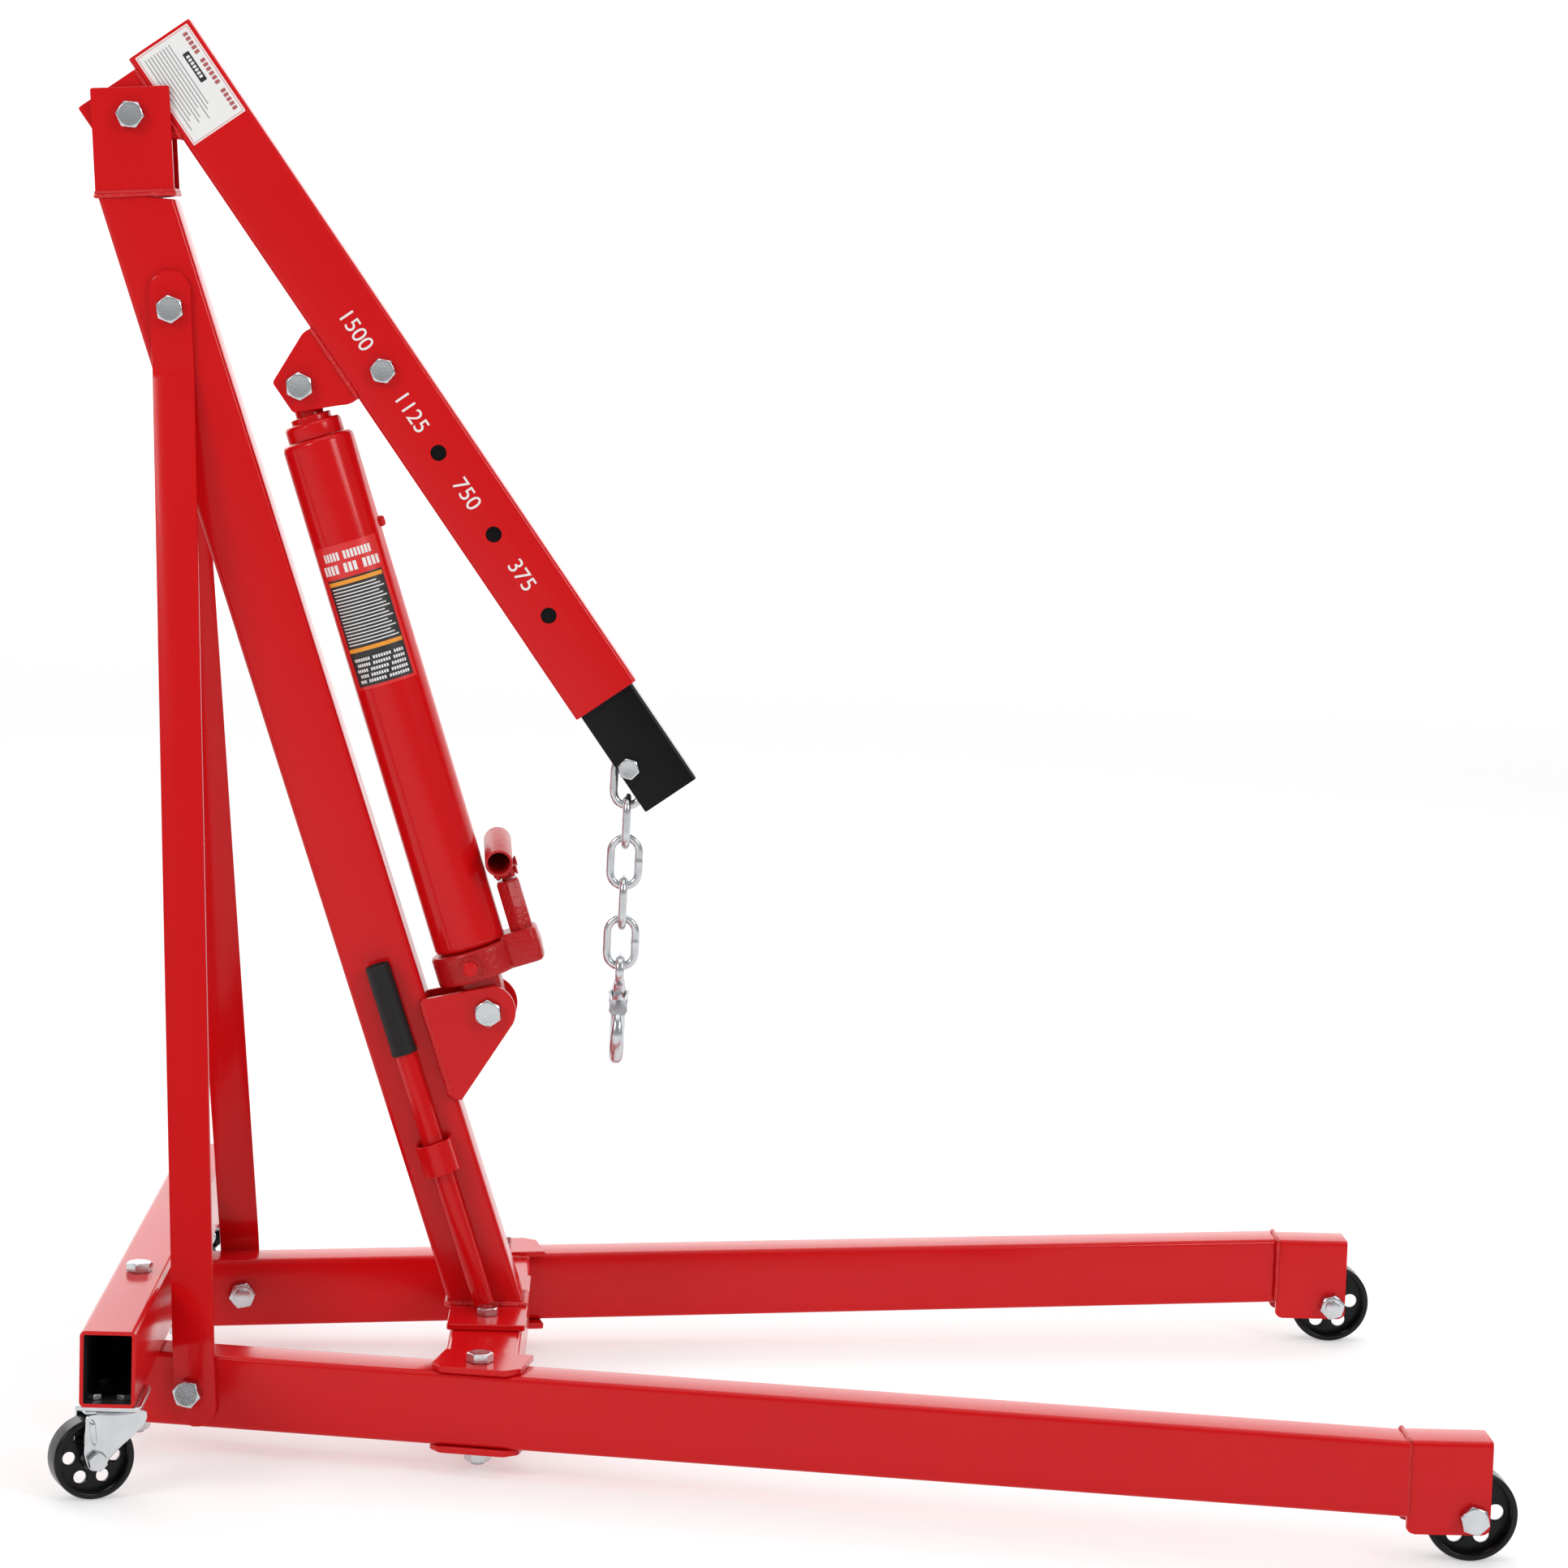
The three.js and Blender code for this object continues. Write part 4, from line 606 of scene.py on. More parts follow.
# %% Wheel brackets
for name, side in SIDES.items():
    outer = rounded_rectangle(50, 2 * 86, 5)
    outer = outer[outer[:, 1] > 0]
    arch = np.concatenate([[[25, -0.0]], outer, [[-25, -0.0]]])
    inner = np.concatenate([[[-20, 0.0]], rounded_rectangle(40, 2 * 81, 2.5)[::-1]])
    inner = inner[inner[:, 1] >= 0]
    inner = np.concatenate([[[-20, 0.0]], inner[(inner[:, 1] > 0)], [[20, 0.0]]])
    section = np.concatenate([arch, inner])
    stations = []
    for x, lift in [(0, 5.2), (1.6, 2.8), (4, 1.0), (8, 0), (68, 0), (72, 1.0), (74.4, 2.8), (76, 5.2)]:
        loop = section.copy()
        loop[:, 1] = np.maximum(loop[:, 1], lift)
        stations.append(np.column_stack([np.full(len(loop), 1170.3 + x), loop[:, 0], 27 + loop[:, 1]]))
    bracket = carried_loops(stations)
    seam = weld([(1170, -25.5, 45), (1170, -25.5, 111), (1170, -20, 113.6), (1170, 20, 113.6),
                 (1170, 25.5, 111), (1170, 25.5, 45)], 2.0, seed=11)
    piece("finished wheel bracket " + name, [bracket], CRANE @ shift(0, side * 414, 0), RED, "frame_body",
          ["wheel_bracket_" + name])
    piece("wheel bracket weld " + name, [seam], CRANE @ shift(0, side * 414, 0), WELD, "frame_body")

# %% [markdown]
# ## Wheels and casters
# The wheels are castings: a rim with rounded lips, a thin web with six round holes, and a hub.
# Rim and hub are turned profiles and the web is a punched plate, so the holes are real.


# %% A cast wheel
def wheel(radius, width, hub_width, bore, web, hole_ring, hole):
    """Turned rim and hub, joined by a punched web; the axis is Y."""
    w, h = width / 2, hub_width / 2
    inside = radius - 6
    rim = rounded([(inside, 0), (inside, w - 1), (inside + 1.5, w), (radius - 1.5, w), (radius, w - 2),
                   (radius, 0), (radius, -w + 2), (radius - 1.5, -w), (inside + 1.5, -w), (inside, -w + 1),
                   (inside, 0)], 1.2)[:-1]
    hub = rounded([(bore, 0), (bore, h), (bore + 5, h), (bore + 6.5, 0), (bore + 5, -h), (bore, -h),
                   (bore, 0)], 0.8)[:-1]
    angles = np.arange(6) * np.pi / 3
    holes = [circle(hole, hole_ring * math.cos(a), hole_ring * math.sin(a), 28) for a in angles]
    holes.append(circle(bore + 4, count=40))
    disc = moved(plate(circle(inside + 1.5, count=72), web, holes, soft=0.9), shift(0, 0, -web / 2))
    shapes = [lathe(rim, 72, ring=True), disc, lathe(hub, 40, ring=True)]
    return [moved(shape, turn("x", 90)) for shape in shapes]


for name, side in SIDES.items():
    piece("finished front wheel " + name, wheel(42.5, 32, 38, 8.7, 5, 24.3, 7.4),
          CRANE @ shift(FRONT_AXLE_X, side * 414, 42.5), WHEEL, f"front_wheel_{name}_body",
          ["front_wheel_" + name])

# %% Casters
CASTER_DROP = BEAM_BOTTOM - 21.2 - 37.5
for name, side in SIDES.items():
    fixed = CRANE @ shift(0, side * 382, BEAM_BOTTOM)
    base_plate = moved(plate(rounded_rectangle(60, 84, 6), 4, soft=0.5), shift(0, 0, -4.3))
    race = lathe(rounded([(0, -4.2), (23, -4.2), (24, -6), (22.5, -8.3), (0, -8.3)], 1.0), 48)
    king = lathe(rounded([(0, -7), (5, -7), (5, -11.9), (8, -11.9), (8, -14.5), (6, -16), (0, -16)], 0.5), 32)
    studs = []
    for x in (-13.6, 13.6):
        for y in (-27, 27):
            head = bolt(13, 4, 5.3, 6.5, 8, only="head")
            studs.append(moved(head, shift(x, y, 3.5)))
    piece("finished caster plate " + name, [base_plate, race, king, *studs], fixed, ZINC, "frame_body",
          ["caster_plate_" + name])

    swivel = fixed @ turn("z", -side * 24)
    outline = soft_outline([(-30, -12), (-31.5, -CASTER_DROP + 6), (-26, -CASTER_DROP - 10),
                            (-13, -CASTER_DROP - 10), (-7, -CASTER_DROP + 2), (26, -24), (28, -12)], 6)
    sides = [cheek(outline, y0, y1, [circle(5.2, -20, -CASTER_DROP)]) for y0, y1 in ((-17, -14), (14, 17))]
    crown = lathe(rounded([(5.6, -8.6), (24, -8.6), (27, -9.6), (28, -11.6), (5.6, -11.6), (5.6, -8.6)],
                          0.8)[:-1], 48, ring=True)
    bridge_loop = soft_outline([(-31, -17), (12, -17), (12, 17), (-31, 17)], 3)
    bridge = moved(plate(bridge_loop, 3, [circle(6, 0, 0)], soft=0.8), shift(0, 0, -11.7))
    crease = [weld([(-25, s * 17, -16), (-22, s * 17, -CASTER_DROP + 14)], 2.4, seed=5) for s in (-1, 1)]
    piece("finished caster fork " + name, [*sides, crown, bridge, *crease], swivel, ZINC,
          f"caster_{name}_body", ["caster_fork_" + name])
    axle = cross_bolt(M10, 17, side, -20, -CASTER_DROP, 11)
    piece("finished caster axle " + name, [axle], swivel, ZINC, f"caster_{name}_body",
          ["caster_axle_" + name])
    piece("finished caster wheel " + name, wheel(37.5, 25, 27, 5.7, 5, 21, 6),
          swivel @ shift(-20, 0, -CASTER_DROP), WHEEL, f"caster_wheel_{name}_body",
          ["caster_wheel_" + name])
print("base frame done")

# %% [markdown]
# ## Mast, foot plate and braces
# The mast leans, but its foot and its top are cut level, so both ends are slanted planes in its
# own frame. The braces are flat bars bent near each end; a bar is a rounded strip carried
# through a few stations whose facing direction turns from the mast's side to the leg's side.

# %% Mast
TAN_LEAN = math.tan(math.radians(LEAN))
MAST_LENGTH = (MAST_TOP_Z - MAST_FOOT_Z) / math.cos(math.radians(LEAN))
TAN_TOP = math.tan(math.radians(LEAN + HEAD_LEAN))
mast_tube = tube(50, 70, 4, lambda y, z: 0.2 + z * TAN_LEAN, lambda y, z: MAST_LENGTH + z * TAN_TOP)
mast_tube = moved(mast_tube, np.array([[0, 0, -1, 0], [0, 1, 0, 0], [1, 0, 0, 0], [0, 0, 0, 1.0]]))
foot_plate = moved(plate(rounded_rectangle(76, 216, 3), 6, soft=0.8),
                   np.linalg.inv(MAST) @ CRANE @ shift(326, 0, 113.6))
piece("finished mast", [mast_tube, foot_plate], MAST, [RED, PAINTED_SHADE_INSIDE], "frame_body", ["mast"])
reach = 35 / math.cos(math.radians(LEAN))
CORNERS = ((-1, -1), (1, -1), (1, 1), (-1, 1))
foot_ring = [(MAST_FOOT_X + sx * (reach + 1), sy * 26, 120.4) for sx, sy in CORNERS]
piece("mast foot weld", [weld(foot_ring, 3.0, ring=True, seed=21)], CRANE, WELD, "frame_body")

# %% Head clevis
head_plate = soft_outline([(-37.75, 0.4), (37.75, 0.4), (37.75, 103), (-37.75, 103)], 2.5)
head_shapes = [cheek(head_plate, y0, y1, [circle(8.6, 0, 76.5)]) for y0, y1 in ((-26.5, -21.5), (21.5, 26.5))]
head_shapes.append(moved(plate(rounded_rectangle(75.5, 50, 1.5), 5), shift(0, 0, 0.4)))
piece("finished head clevis", head_shapes, HEAD, RED, "frame_body", ["mast_head_clevis"])
head_ring = [(sx * 37.4, sy * 26.4, 0.6) for sx, sy in CORNERS]
head_beads = [weld(head_ring, 2.2, ring=True, seed=31)]
head_beads.append(weld([(x, y, z + 3.2) for x, y, z in head_ring], 1.6, ring=True, seed=32))
piece("head weld", head_beads, HEAD, WELD, "frame_body")


# %% Braces
def brace(side):
    """Stations down the bar: centre, direction across the bar and direction out of its face."""
    top_x, foot_x, foot_z = mast_x(BRACE_TOP_Z), 58.8, 78.0
    slope = (foot_x - top_x) / (BRACE_TOP_Z - foot_z)
    outward_leg = np.array([-math.sin(math.radians(SPLAY)), side * math.cos(math.radians(SPLAY)), 0])
    outward_mast = np.array([0.0, side, 0])
    half_leg = 25 / math.cos(math.radians(SPLAY))
    heights, halves = [], []
    full = 20.0
    for share in np.linspace(0.02, 1, 12):
        heights.append(1126 - share * full)
        halves.append(math.sqrt(full ** 2 - (full - share * full) ** 2))
    middle = [1031, 1027, 1023, 900, 700, 500, 300, 131, 127, 123]
    heights += middle + [80]
    halves += [full] * 11
    for share in np.linspace(1, 0.02, 12):
        heights.append(45 + share * full)
        halves.append(math.sqrt(full ** 2 - (full - share * full) ** 2))
    heights, halves = np.array(heights), np.array(halves)
    x = top_x + (BRACE_TOP_Z - heights) * slope
    stand = GAP + 3
    y_mast = np.full_like(x, 25 + stand)
    y_leg = leg_y(x) + half_leg + stand / math.cos(math.radians(SPLAY))
    x_low = top_x + (BRACE_TOP_Z - 127) * slope
    y_low = leg_y(x_low) + half_leg + stand / math.cos(math.radians(SPLAY))
    share = np.clip((1027 - heights) / 900, 0, 1)
    between = (1 - share) * (25 + stand) + share * y_low
    y = np.where(heights > 1027, y_mast, np.where(heights < 127, y_leg, between))
    centre = np.stack([x, side * y, heights], -1)
    normal = (1 - share[:, None]) * outward_mast + share[:, None] * outward_leg
    normal /= np.linalg.norm(normal, axis=1, keepdims=True)
    down = np.gradient(centre, axis=0)
    down /= np.linalg.norm(down, axis=1, keepdims=True)
    normal -= down * (normal * down).sum(1, keepdims=True)
    normal /= np.linalg.norm(normal, axis=1, keepdims=True)
    wide = np.cross(normal, down)
    loops = []
    for k in range(len(heights)):
        section = rounded_rectangle(2 * halves[k], 6, min(0.9, halves[k] * 0.4), 2)
        loops.append(centre[k] + section[:, :1] * wide[k] + section[:, 1:] * normal[k])
    return carried_loops(loops)


for name, side in SIDES.items():
    piece("finished brace " + name, [brace(side)], CRANE, RED, "frame_body", ["brace_" + name])


# %% Jack bracket on the mast
def bracket_outline():
    """A rear edge just behind the mast's front face, a round nose about the foot bolt, a blunt tip."""
    cx, cz, radius = *JACK_FOOT, 27
    front = lambda z: mast_x(z) + reach
    turns = np.radians(np.linspace(-24, 78, 14))
    nose = [(cx + radius * math.cos(a), cz + radius * math.sin(a)) for a in turns]
    tip = [(front(325.6) - 5, 325.6), (front(325.6) + 4, 325.6)]
    return np.array([*tip, *nose, (front(424) - 5, 424)])


bracket = bracket_outline()
hole = [circle(8.6, *JACK_FOOT)]
jack_cheeks = [cheek(bracket, y0, y1, hole, soft=0.8) for y0, y1 in ((-31.3, -25.3), (25.3, 31.3))]
web = plate([(-47, -25.5), (47, -25.5), (47, 25.5), (-47, 25.5)], 5, soft=0.8)
web_place = shift(mast_x(374) + reach + 0.4, 0, 374) @ turn("y", 90 - LEAN)
piece("finished jack bracket", [*jack_cheeks, moved(web, web_place)], CRANE, RED, "frame_body",
      ["jack_bracket"])
seams = []
for y in (-26.4, 26.4):
    seams.append(weld([(mast_x(z) + reach - 5.6, 1.11 * y, z) for z in (327, 423)], 2.8, seed=41))
piece("jack bracket welds", seams, CRANE, WELD, "frame_body")

# %% [markdown]
# ## Boom
# The boom tube has three open lock holes. They are cut with a Boolean, whose result is kept,
# because a hole through a rounded tube wall has no simple grid.


# %% Boom tube, cut by its lock holes
def cut_holes(obj, cutters):
    """The object's mesh minus the cutters' meshes, with the result stored back."""
    for cutter in cutters:
        step = obj.modifiers.new("hole", "BOOLEAN")
        step.operation = "DIFFERENCE"
        step.solver = "EXACT"
        step.object = cutter
    view_layer = bpy.context.view_layer
    view_layer.update()
    result = bpy.data.meshes.new_from_object(obj.evaluated_get(bpy.context.evaluated_depsgraph_get()))
    obj.modifiers.clear()
    obj.data = result
    result.set_sharp_from_angle(angle=math.radians(32))
    for cutter in cutters:
        bpy.data.objects.remove(cutter)


def cutter(shape, place):
    """A plain object for cutting, in the same space as the piece."""
    mesh = bpy.data.meshes.new("cutter")
    mesh.from_pydata((carried(place, shape[0]) / 1000).tolist(), [], shape[1])
    obj = bpy.data.objects.new("cutter", mesh)
    bpy.context.scene.collection.objects.link(obj)
    return obj


boom_tube = tube(40, 70, 3.5, flat(-45), flat(720), corner=4.5, centre=(0, 62))
boom = piece("finished boom", [boom_tube], BOOM, [RED, PAINTED_SHADE_INSIDE], "boom_body", ["boom_tube"])
pegs = []
for s in (430, 525, 620):
    peg = moved(lathe([(0, -30), (7.8, -30), (7.8, 30), (0, 30)], 48), shift(s, 0, 62) @ turn("x", 90))
    pegs.append(cutter(peg, BOOM))
cut_holes(boom, pegs)
print("boom faces:", len(boom.data.polygons))

# %% Boom brackets
hinge = soft_outline([(-34, 26.7), (-34, -39), (8, -39), (30, 10), (46, 26.7)], 3)
hinge_shapes = [cheek(hinge, y0, y1, [circle(8.6)]) for y0, y1 in ((-20, -16), (16, 20))]
upright = shift(-34, 0, -6.2) @ turn("z", 90) @ turn("x", 90)
hinge_shapes.append(moved(plate(rounded_rectangle(38, 65, 1.5), 4), upright))
piece("finished boom hinge bracket", hinge_shapes, BOOM, RED, "boom_body",
      ["boom_pivot_bracket"])
ram_side = soft_outline([(262, 26.7), (262, 18), (285, -33), (320, -33), (338, 6), (343.5, 17),
                         (343.5, 26.7)], 3)
ram_shapes = [cheek(ram_side, y0, y1, [circle(8.6, *RAM_PIN)]) for y0, y1 in ((-20, -15), (15, 20))]
ram_shapes.append(moved(plate(rounded_rectangle(80, 38, 1.5), 5), shift(302.7, 0, 21.7)))
piece("finished ram bracket", ram_shapes, BOOM, RED, "boom_body", ["ram_bracket"])
boom_beads = []
for y in (-19.6, 19.6):
    boom_beads.append(weld([(262, y, 26.9), (343.5, y, 26.9)], 2.3, seed=51))
    boom_beads.append(weld([(-34, y, 26.9), (45, y, 26.9)], 2.0, seed=52))
piece("boom welds", boom_beads, BOOM, WELD, "boom_body")

# %% Extension
extension = tube(30, 60, 3, flat(300), flat(833), corner=3.5, centre=(0, 62))
inner_tube = piece("finished extension", [extension], BOOM, [BLACK, PAINTED_SHADE_INSIDE], "extension_body",
                   ["boom_extension"])
notch = moved(plate(rounded_rectangle(120, 14, 2), 12, soft=0.4), shift(735 + 60, 0, 26))
peg = moved(lathe([(0, -30), (7.8, -30), (7.8, 30), (0, 30)], 32), shift(335, 0, 62) @ turn("x", 90))
trough = moved(plate(rounded_rectangle(60, 60, 0.5), 15.6, soft=0.2), shift(305, 0, 54.2))
cut_holes(inner_tube, [cutter(notch, BOOM), cutter(peg, BOOM), cutter(trough, BOOM)])

# %% [markdown]
# ## Chain and hook
# A link is a round wire bent to a long oval and welded shut on one side. The hook is forged: a
# round eye, then a section that is broad at the back of the bowl and thin at the point.

# %% Chain links
WIRE, BEND, INSIDE_LENGTH = 4.1, 9.7, 40.3
PITCH = INSIDE_LENGTH - GAP


def link(top):
    """Two half circles joined by straights, swept by a round wire; the butt weld is a swell."""
    r, upper, lower = BEND + WIRE, top - BEND, top - INSIDE_LENGTH + BEND
    t = np.linspace(0, np.pi, 15)
    arcs = [np.stack([r * np.cos(t), 0 * t, upper + r * np.sin(t)], -1),
            np.stack([-r * np.cos(t), 0 * t, lower - r * np.sin(t)], -1)]
    path = resampled(np.concatenate(arcs), 1.6, ring=True)
    middle = (upper + lower) / 2
    swell = 1 + 0.09 * np.exp(-(((path[:, 2] - middle) / 2.2) ** 2)) * (path[:, 0] > 0)
    size = np.minimum(WIRE * swell, WIRE * 1.09)
    return sweep(path, np.stack([size, size], -1), (0, 1, 0), 16, ring=True)


z = M12["shank"] + GAP
piece("finished chain link 1", [link(z)], CHAIN, ZINC, "link_1_body", ["chain_link_1"])
z += -INSIDE_LENGTH - WIRE
for number in range(2, 6):
    place = CHAIN @ shift(0, 0, z) @ turn("z", 90 * (number % 2 == 0))
    piece(f"finished chain link {number}", [link(WIRE + GAP)], place, ZINC, f"link_{number}_body",
          [f"chain_link_{number}"])
    z -= PITCH
HOOK = CHAIN @ shift(0, 0, z)

# %% Hook and latch
EYE, DROP = 8.5, 57.5
eye_z = WIRE + 1.4 - EYE
bowl_z = eye_z - DROP
t = np.linspace(0, 2 * np.pi, 48, endpoint=False)
eye_path = np.stack([0 * t, (EYE + 4) * np.cos(t), eye_z + (EYE + 4) * np.sin(t)], -1)
eye_ring = sweep(eye_path, (4.0, 4.5), (1, 0, 0), 20, ring=True, power=2.6)
arc_t = np.linspace(0.9, -1.18 * np.pi, 60)
bowl = np.stack([26.5 * np.cos(arc_t), bowl_z + 26.5 * np.sin(arc_t)], -1)
neck = np.array([(1.5, eye_z - 12), (3, eye_z - 16), (6.5, eye_z - 20.5), (10, eye_z - 25)])
centre = np.concatenate([neck, bowl])
share = np.linspace(0, 1, len(bowl))
width = np.where(share < 0.85, 8 + 2.2 * np.sin(np.pi * share / 0.85), 8 - 26 * (share - 0.85))
width = np.concatenate([[6.0, 6.6, 7.2, 7.6], width])
depth = np.concatenate([[5.5, 6.2, 6.8, 7.2], np.where(share < 0.8, 7.4, 7.4 - 16 * (share - 0.8))])
path = np.column_stack([np.zeros(len(centre)), centre])
hook = sweep(path, np.stack([width, depth], -1), (1, 0, 0), 24, power=2.5)
piece("finished hook", [eye_ring, hook], HOOK, ZINC, "hook_body", ["lifting_hook"])
latch_pin = (10.0, eye_z - 24)
latch_tip = (-16.5, bowl_z + 13.8)
latch_length = math.hypot(latch_pin[0] - latch_tip[0], latch_pin[1] - latch_tip[1])
latch_turn = math.degrees(math.atan2(latch_pin[1] - latch_tip[1], latch_pin[0] - latch_tip[0]))
tongue = moved(plate(soft_outline([(-9.3, -12), (9.3, -12), (9.3, -latch_length + 7), (6, -latch_length),
                                   (-6, -latch_length), (-9.3, -latch_length + 7)], 2), 1.6, soft=0.4),
               shift(0, 0, -0.8))
ears = []
for x0 in (-9.3, 7.8):
    ear = plate(soft_outline([(-14, -3.5), (3.5, -3.5), (3.5, 3.5), (-14, 3.5)], 2.5), 1.5, soft=0.3)
    ears.append(moved(ear, shift(x0, 0, 0) @ turn("z", 90) @ turn("x", 90)))
rivet_side = [(0, -10), (3.2, -10), (3.2, -9.2), (2, -9), (2, 9), (3.2, 9.2), (3.2, 10), (0, 10)]
rivet = moved(lathe(rounded(rivet_side, 0.4), 24), turn("y", 90))
piece("finished latch", [tongue, *ears, rivet], HOOK @ shift(0, *latch_pin) @ turn("x", latch_turn), ZINC,
      "latch_body", ["hook_latch"])
print("boom, chain and hook done")

# %% [markdown]
# ## Jack
# The jack is a painted steel tube on a rough casting. The tube is a turned profile with a soft
# shoulder. The casting is built from rounded loops stacked along the jack's axis.


# %% Stacked loops for castings
def stack(levels, ends=1.2):
    """levels: (z, width, depth, corner radius, x, y). Each level is a rounded rectangle, and the
    first and last shrink a little to soften the edges."""
    first, last = levels[0], levels[-1]
    soft = [(first[0], first[1] - 2 * ends, first[2] - 2 * ends, max(first[3] - ends, 0.5), *first[4:])]
    soft += [(first[0] + ends, *first[1:])] + list(levels[1:-1]) + [(last[0] - ends, *last[1:])]
    soft += [(last[0], last[1] - 2 * ends, last[2] - 2 * ends, max(last[3] - ends, 0.5), *last[4:])]
    loops = []
    for z, width, depth, radius, x, y in soft:
        loop = rounded_rectangle(width, depth, radius, 6)
        loops.append(np.column_stack([loop[:, 0] + x, loop[:, 1] + y, np.full(len(loop), z)]))
    return carried_loops(loops)


# %% Reservoir and its top nut
R = 35.4
shoulder = rounded([(0, 63.4), (R, 63.4), (R, 584), (0, 584)], 7, 8)
reservoir = lathe(shoulder, 96)
piece("finished reservoir", [reservoir], JACK, RED, "jack_body", ["jack_reservoir"])
collar = rounded([(14.6, 584.3), (28, 584.3), (28, 597), (26, 600), (20, 600.3), (20, 605.5), (18.5, 606.3),
                  (14.6, 606.3), (14.6, 584.3)], 1.0)[:-1]
piece("finished top nut", [lathe(collar, 72, ring=True)], JACK, RED, "jack_body",
      ["jack_top_nut"])
plug = moved(lathe(rounded([(0, 0), (5.5, 0), (5.5, 3), (4.2, 5.5), (0, 6)], 0.8), 32),
             shift(34.6, 0, 489) @ turn("y", 90))
piece("filler plug", [plug], JACK, RED, "jack_body")

# %% Ram with its eye
rod = lathe(rounded([(0, 98), (13.8, 98), (13.8, JACK_LENGTH - 10), (0, JACK_LENGTH - 10)], 1), 48)
eye_loop = circle(19, count=64)
eye = moved(plate(eye_loop, 27, soft=1.5), shift(0, 13.5, JACK_LENGTH) @ turn("x", 90))
piece("finished ram", [rod, eye], JACK, RED, "ram_body", ["jack_ram"])

# %% Base casting
base_shapes = [
    lathe(rounded([(0, 33), (40, 33), (41, 36), (41, 60), (39.5, 63.1), (0, 63.1)], 2.5), 96),
    stack([(0, 38, 47, 6, 0, 0), (34, 40, 47, 6, 0, 0)]),
    moved(lathe(rounded([(0, -23.5), (20, -23.5), (20, 23.5), (0, 23.5)], 1.5), 48), turn("x", 90)),
    stack([(33, 42, 42, 9, 46, 2), (50, 44, 44, 9, 46, 2), (67, 40, 42, 9, 47, 3)], 2.0),
    moved(lathe(rounded([(0, 28), (11.5, 28), (11, 46), (0, 46)], 1.5), 24),
          shift(-3, 0, 48) @ turn("x", 90)),
    stack([(60, 9.2, 12, 1.5, 53, 20), (126, 9.2, 12, 1.5, 53, 20)], 1.0),
    moved(lathe(rounded([(0, -4.6), (6, -4.6), (6, 4.6), (0, 4.6)], 0.8), 32),
          shift(53, 20, 130) @ turn("y", 90)),
]
piece("finished jack base", base_shapes, JACK, CAST, "jack_body", ["jack_base"])
valve_side = [(0, 38.4), (5.5, 38.4), (5.5, 46), (8, 46.5), (8, 51), (6.5, 52), (0, 52)]
valve_shape = lathe(rounded(valve_side, 0.6), 6)
piece("finished release valve", [moved(valve_shape, turn("x", 90))], JACK @ shift(-3, 0, 48), RED,
      "valve_body", ["release_valve"])

# %% Hand pump
hexa = hexagon(22)
barrel = lathe([(0, 67.3), (22, 67.3), (22, 114), (22, 115.5), (11.4, 116.8), (0, 116.8)], 60,
               cut=lambda t, z: hexa(t) - np.clip(z - 114, 0, 9) * 0.5)
piece("finished pump barrel", [moved(barrel, shift(53, 0, 0))], JACK, CAST, "jack_body",
      ["pump_barrel"])
pin_y, pin_z = 20 - 26 * math.cos(math.radians(11)), 130 - 26 * math.sin(math.radians(11))
plunger = lathe(rounded([(0, 84), (4.7, 84), (4.7, pin_z - 4.6), (0, pin_z - 4.6)], 0.5), 32)
slot_loop = rounded_rectangle(11, 8, 3.9, 8)
eye_rim = rounded_rectangle(13.8, 10.8, 5.3, 10)
tongue = moved(plate(eye_rim, 9.2, [slot_loop], soft=0.5),
               shift(-4.6, pin_y + 0.8, pin_z) @ turn("z", 90) @ turn("x", 90))
piece("finished plunger", [moved(plunger, shift(53, 0, 0)), moved(tongue, shift(53, 0, 0))], JACK, CAST,
      "plunger_body", ["pump_plunger"])

# %% Handle socket
SOCKET = JACK @ shift(53, 20, 130) @ turn("x", 11)
cup = rounded([(0, 12), (10.9, 12), (10.9, -60), (13.5, -60), (13.5, 16), (0, 16)], 0.7)
socket_tube = moved(lathe(cup, 56), shift(0, 0, 21) @ turn("x", -90))
ear_loop = soft_outline([(-33, 13), (-33, -3), (-26, -7), (2, -7), (7, -2), (7, 13)], 3)
socket_ears = [moved(plate(ear_loop, 4.5, soft=0.7), shift(x0, 0, 0) @ turn("z", 90) @ turn("x", 90))
               for x0 in (-9.5, 5)]
socket_pins = [moved(lathe(rounded([(0, -11), (3.5, -11), (3.5, 11), (5, 11), (5, 13), (0, 13)], 0.5), 24),
                     shift(0, y, 0) @ turn("y", 90)) for y in (-26, 0)]
piece("finished handle socket", [socket_tube, *socket_ears, *socket_pins], SOCKET, CAST, "socket_body",
      ["handle_socket"])

# %% [markdown]
# ## Stored pump handle and its clip
# The pump's handle stands beside the mast in a half-round strap. Its grip is a thick rubber
# sleeve with a collar at its lower end and an open top.

# %% Handle, grip and clip
bar = rounded([(8.4, 4.2), (10.4, 4.2), (10.4, 350), (8.4, 350), (8.4, 4.2)], 0.6)[:-1]
piece("finished pump handle", [moved(lathe(bar, 48, ring=True), shift(0, -38, 0))], MAST, RED,
      "stored_handle_body", ["pump_handle"])
sleeve = rounded([(10.7, 266), (12.9, 266), (12.9, 271), (12.2, 273), (12.2, 355), (11.2, 358), (7.5, 358),
                  (7.5, 352), (10.7, 350.3), (10.7, 266)], 0.8)[:-1]
piece("finished grip", [moved(lathe(sleeve, 56, ring=True), shift(0, -38, 0))], MAST, GRIP,
      "stored_handle_body", ["handle_grip"])
t = np.linspace(np.pi, 2 * np.pi, 32)
outer = np.column_stack([18 * np.cos(t), -39 + 18 * np.sin(t)])
inner = np.column_stack([15 * np.cos(t), -39 + 15 * np.sin(t)])[::-1]
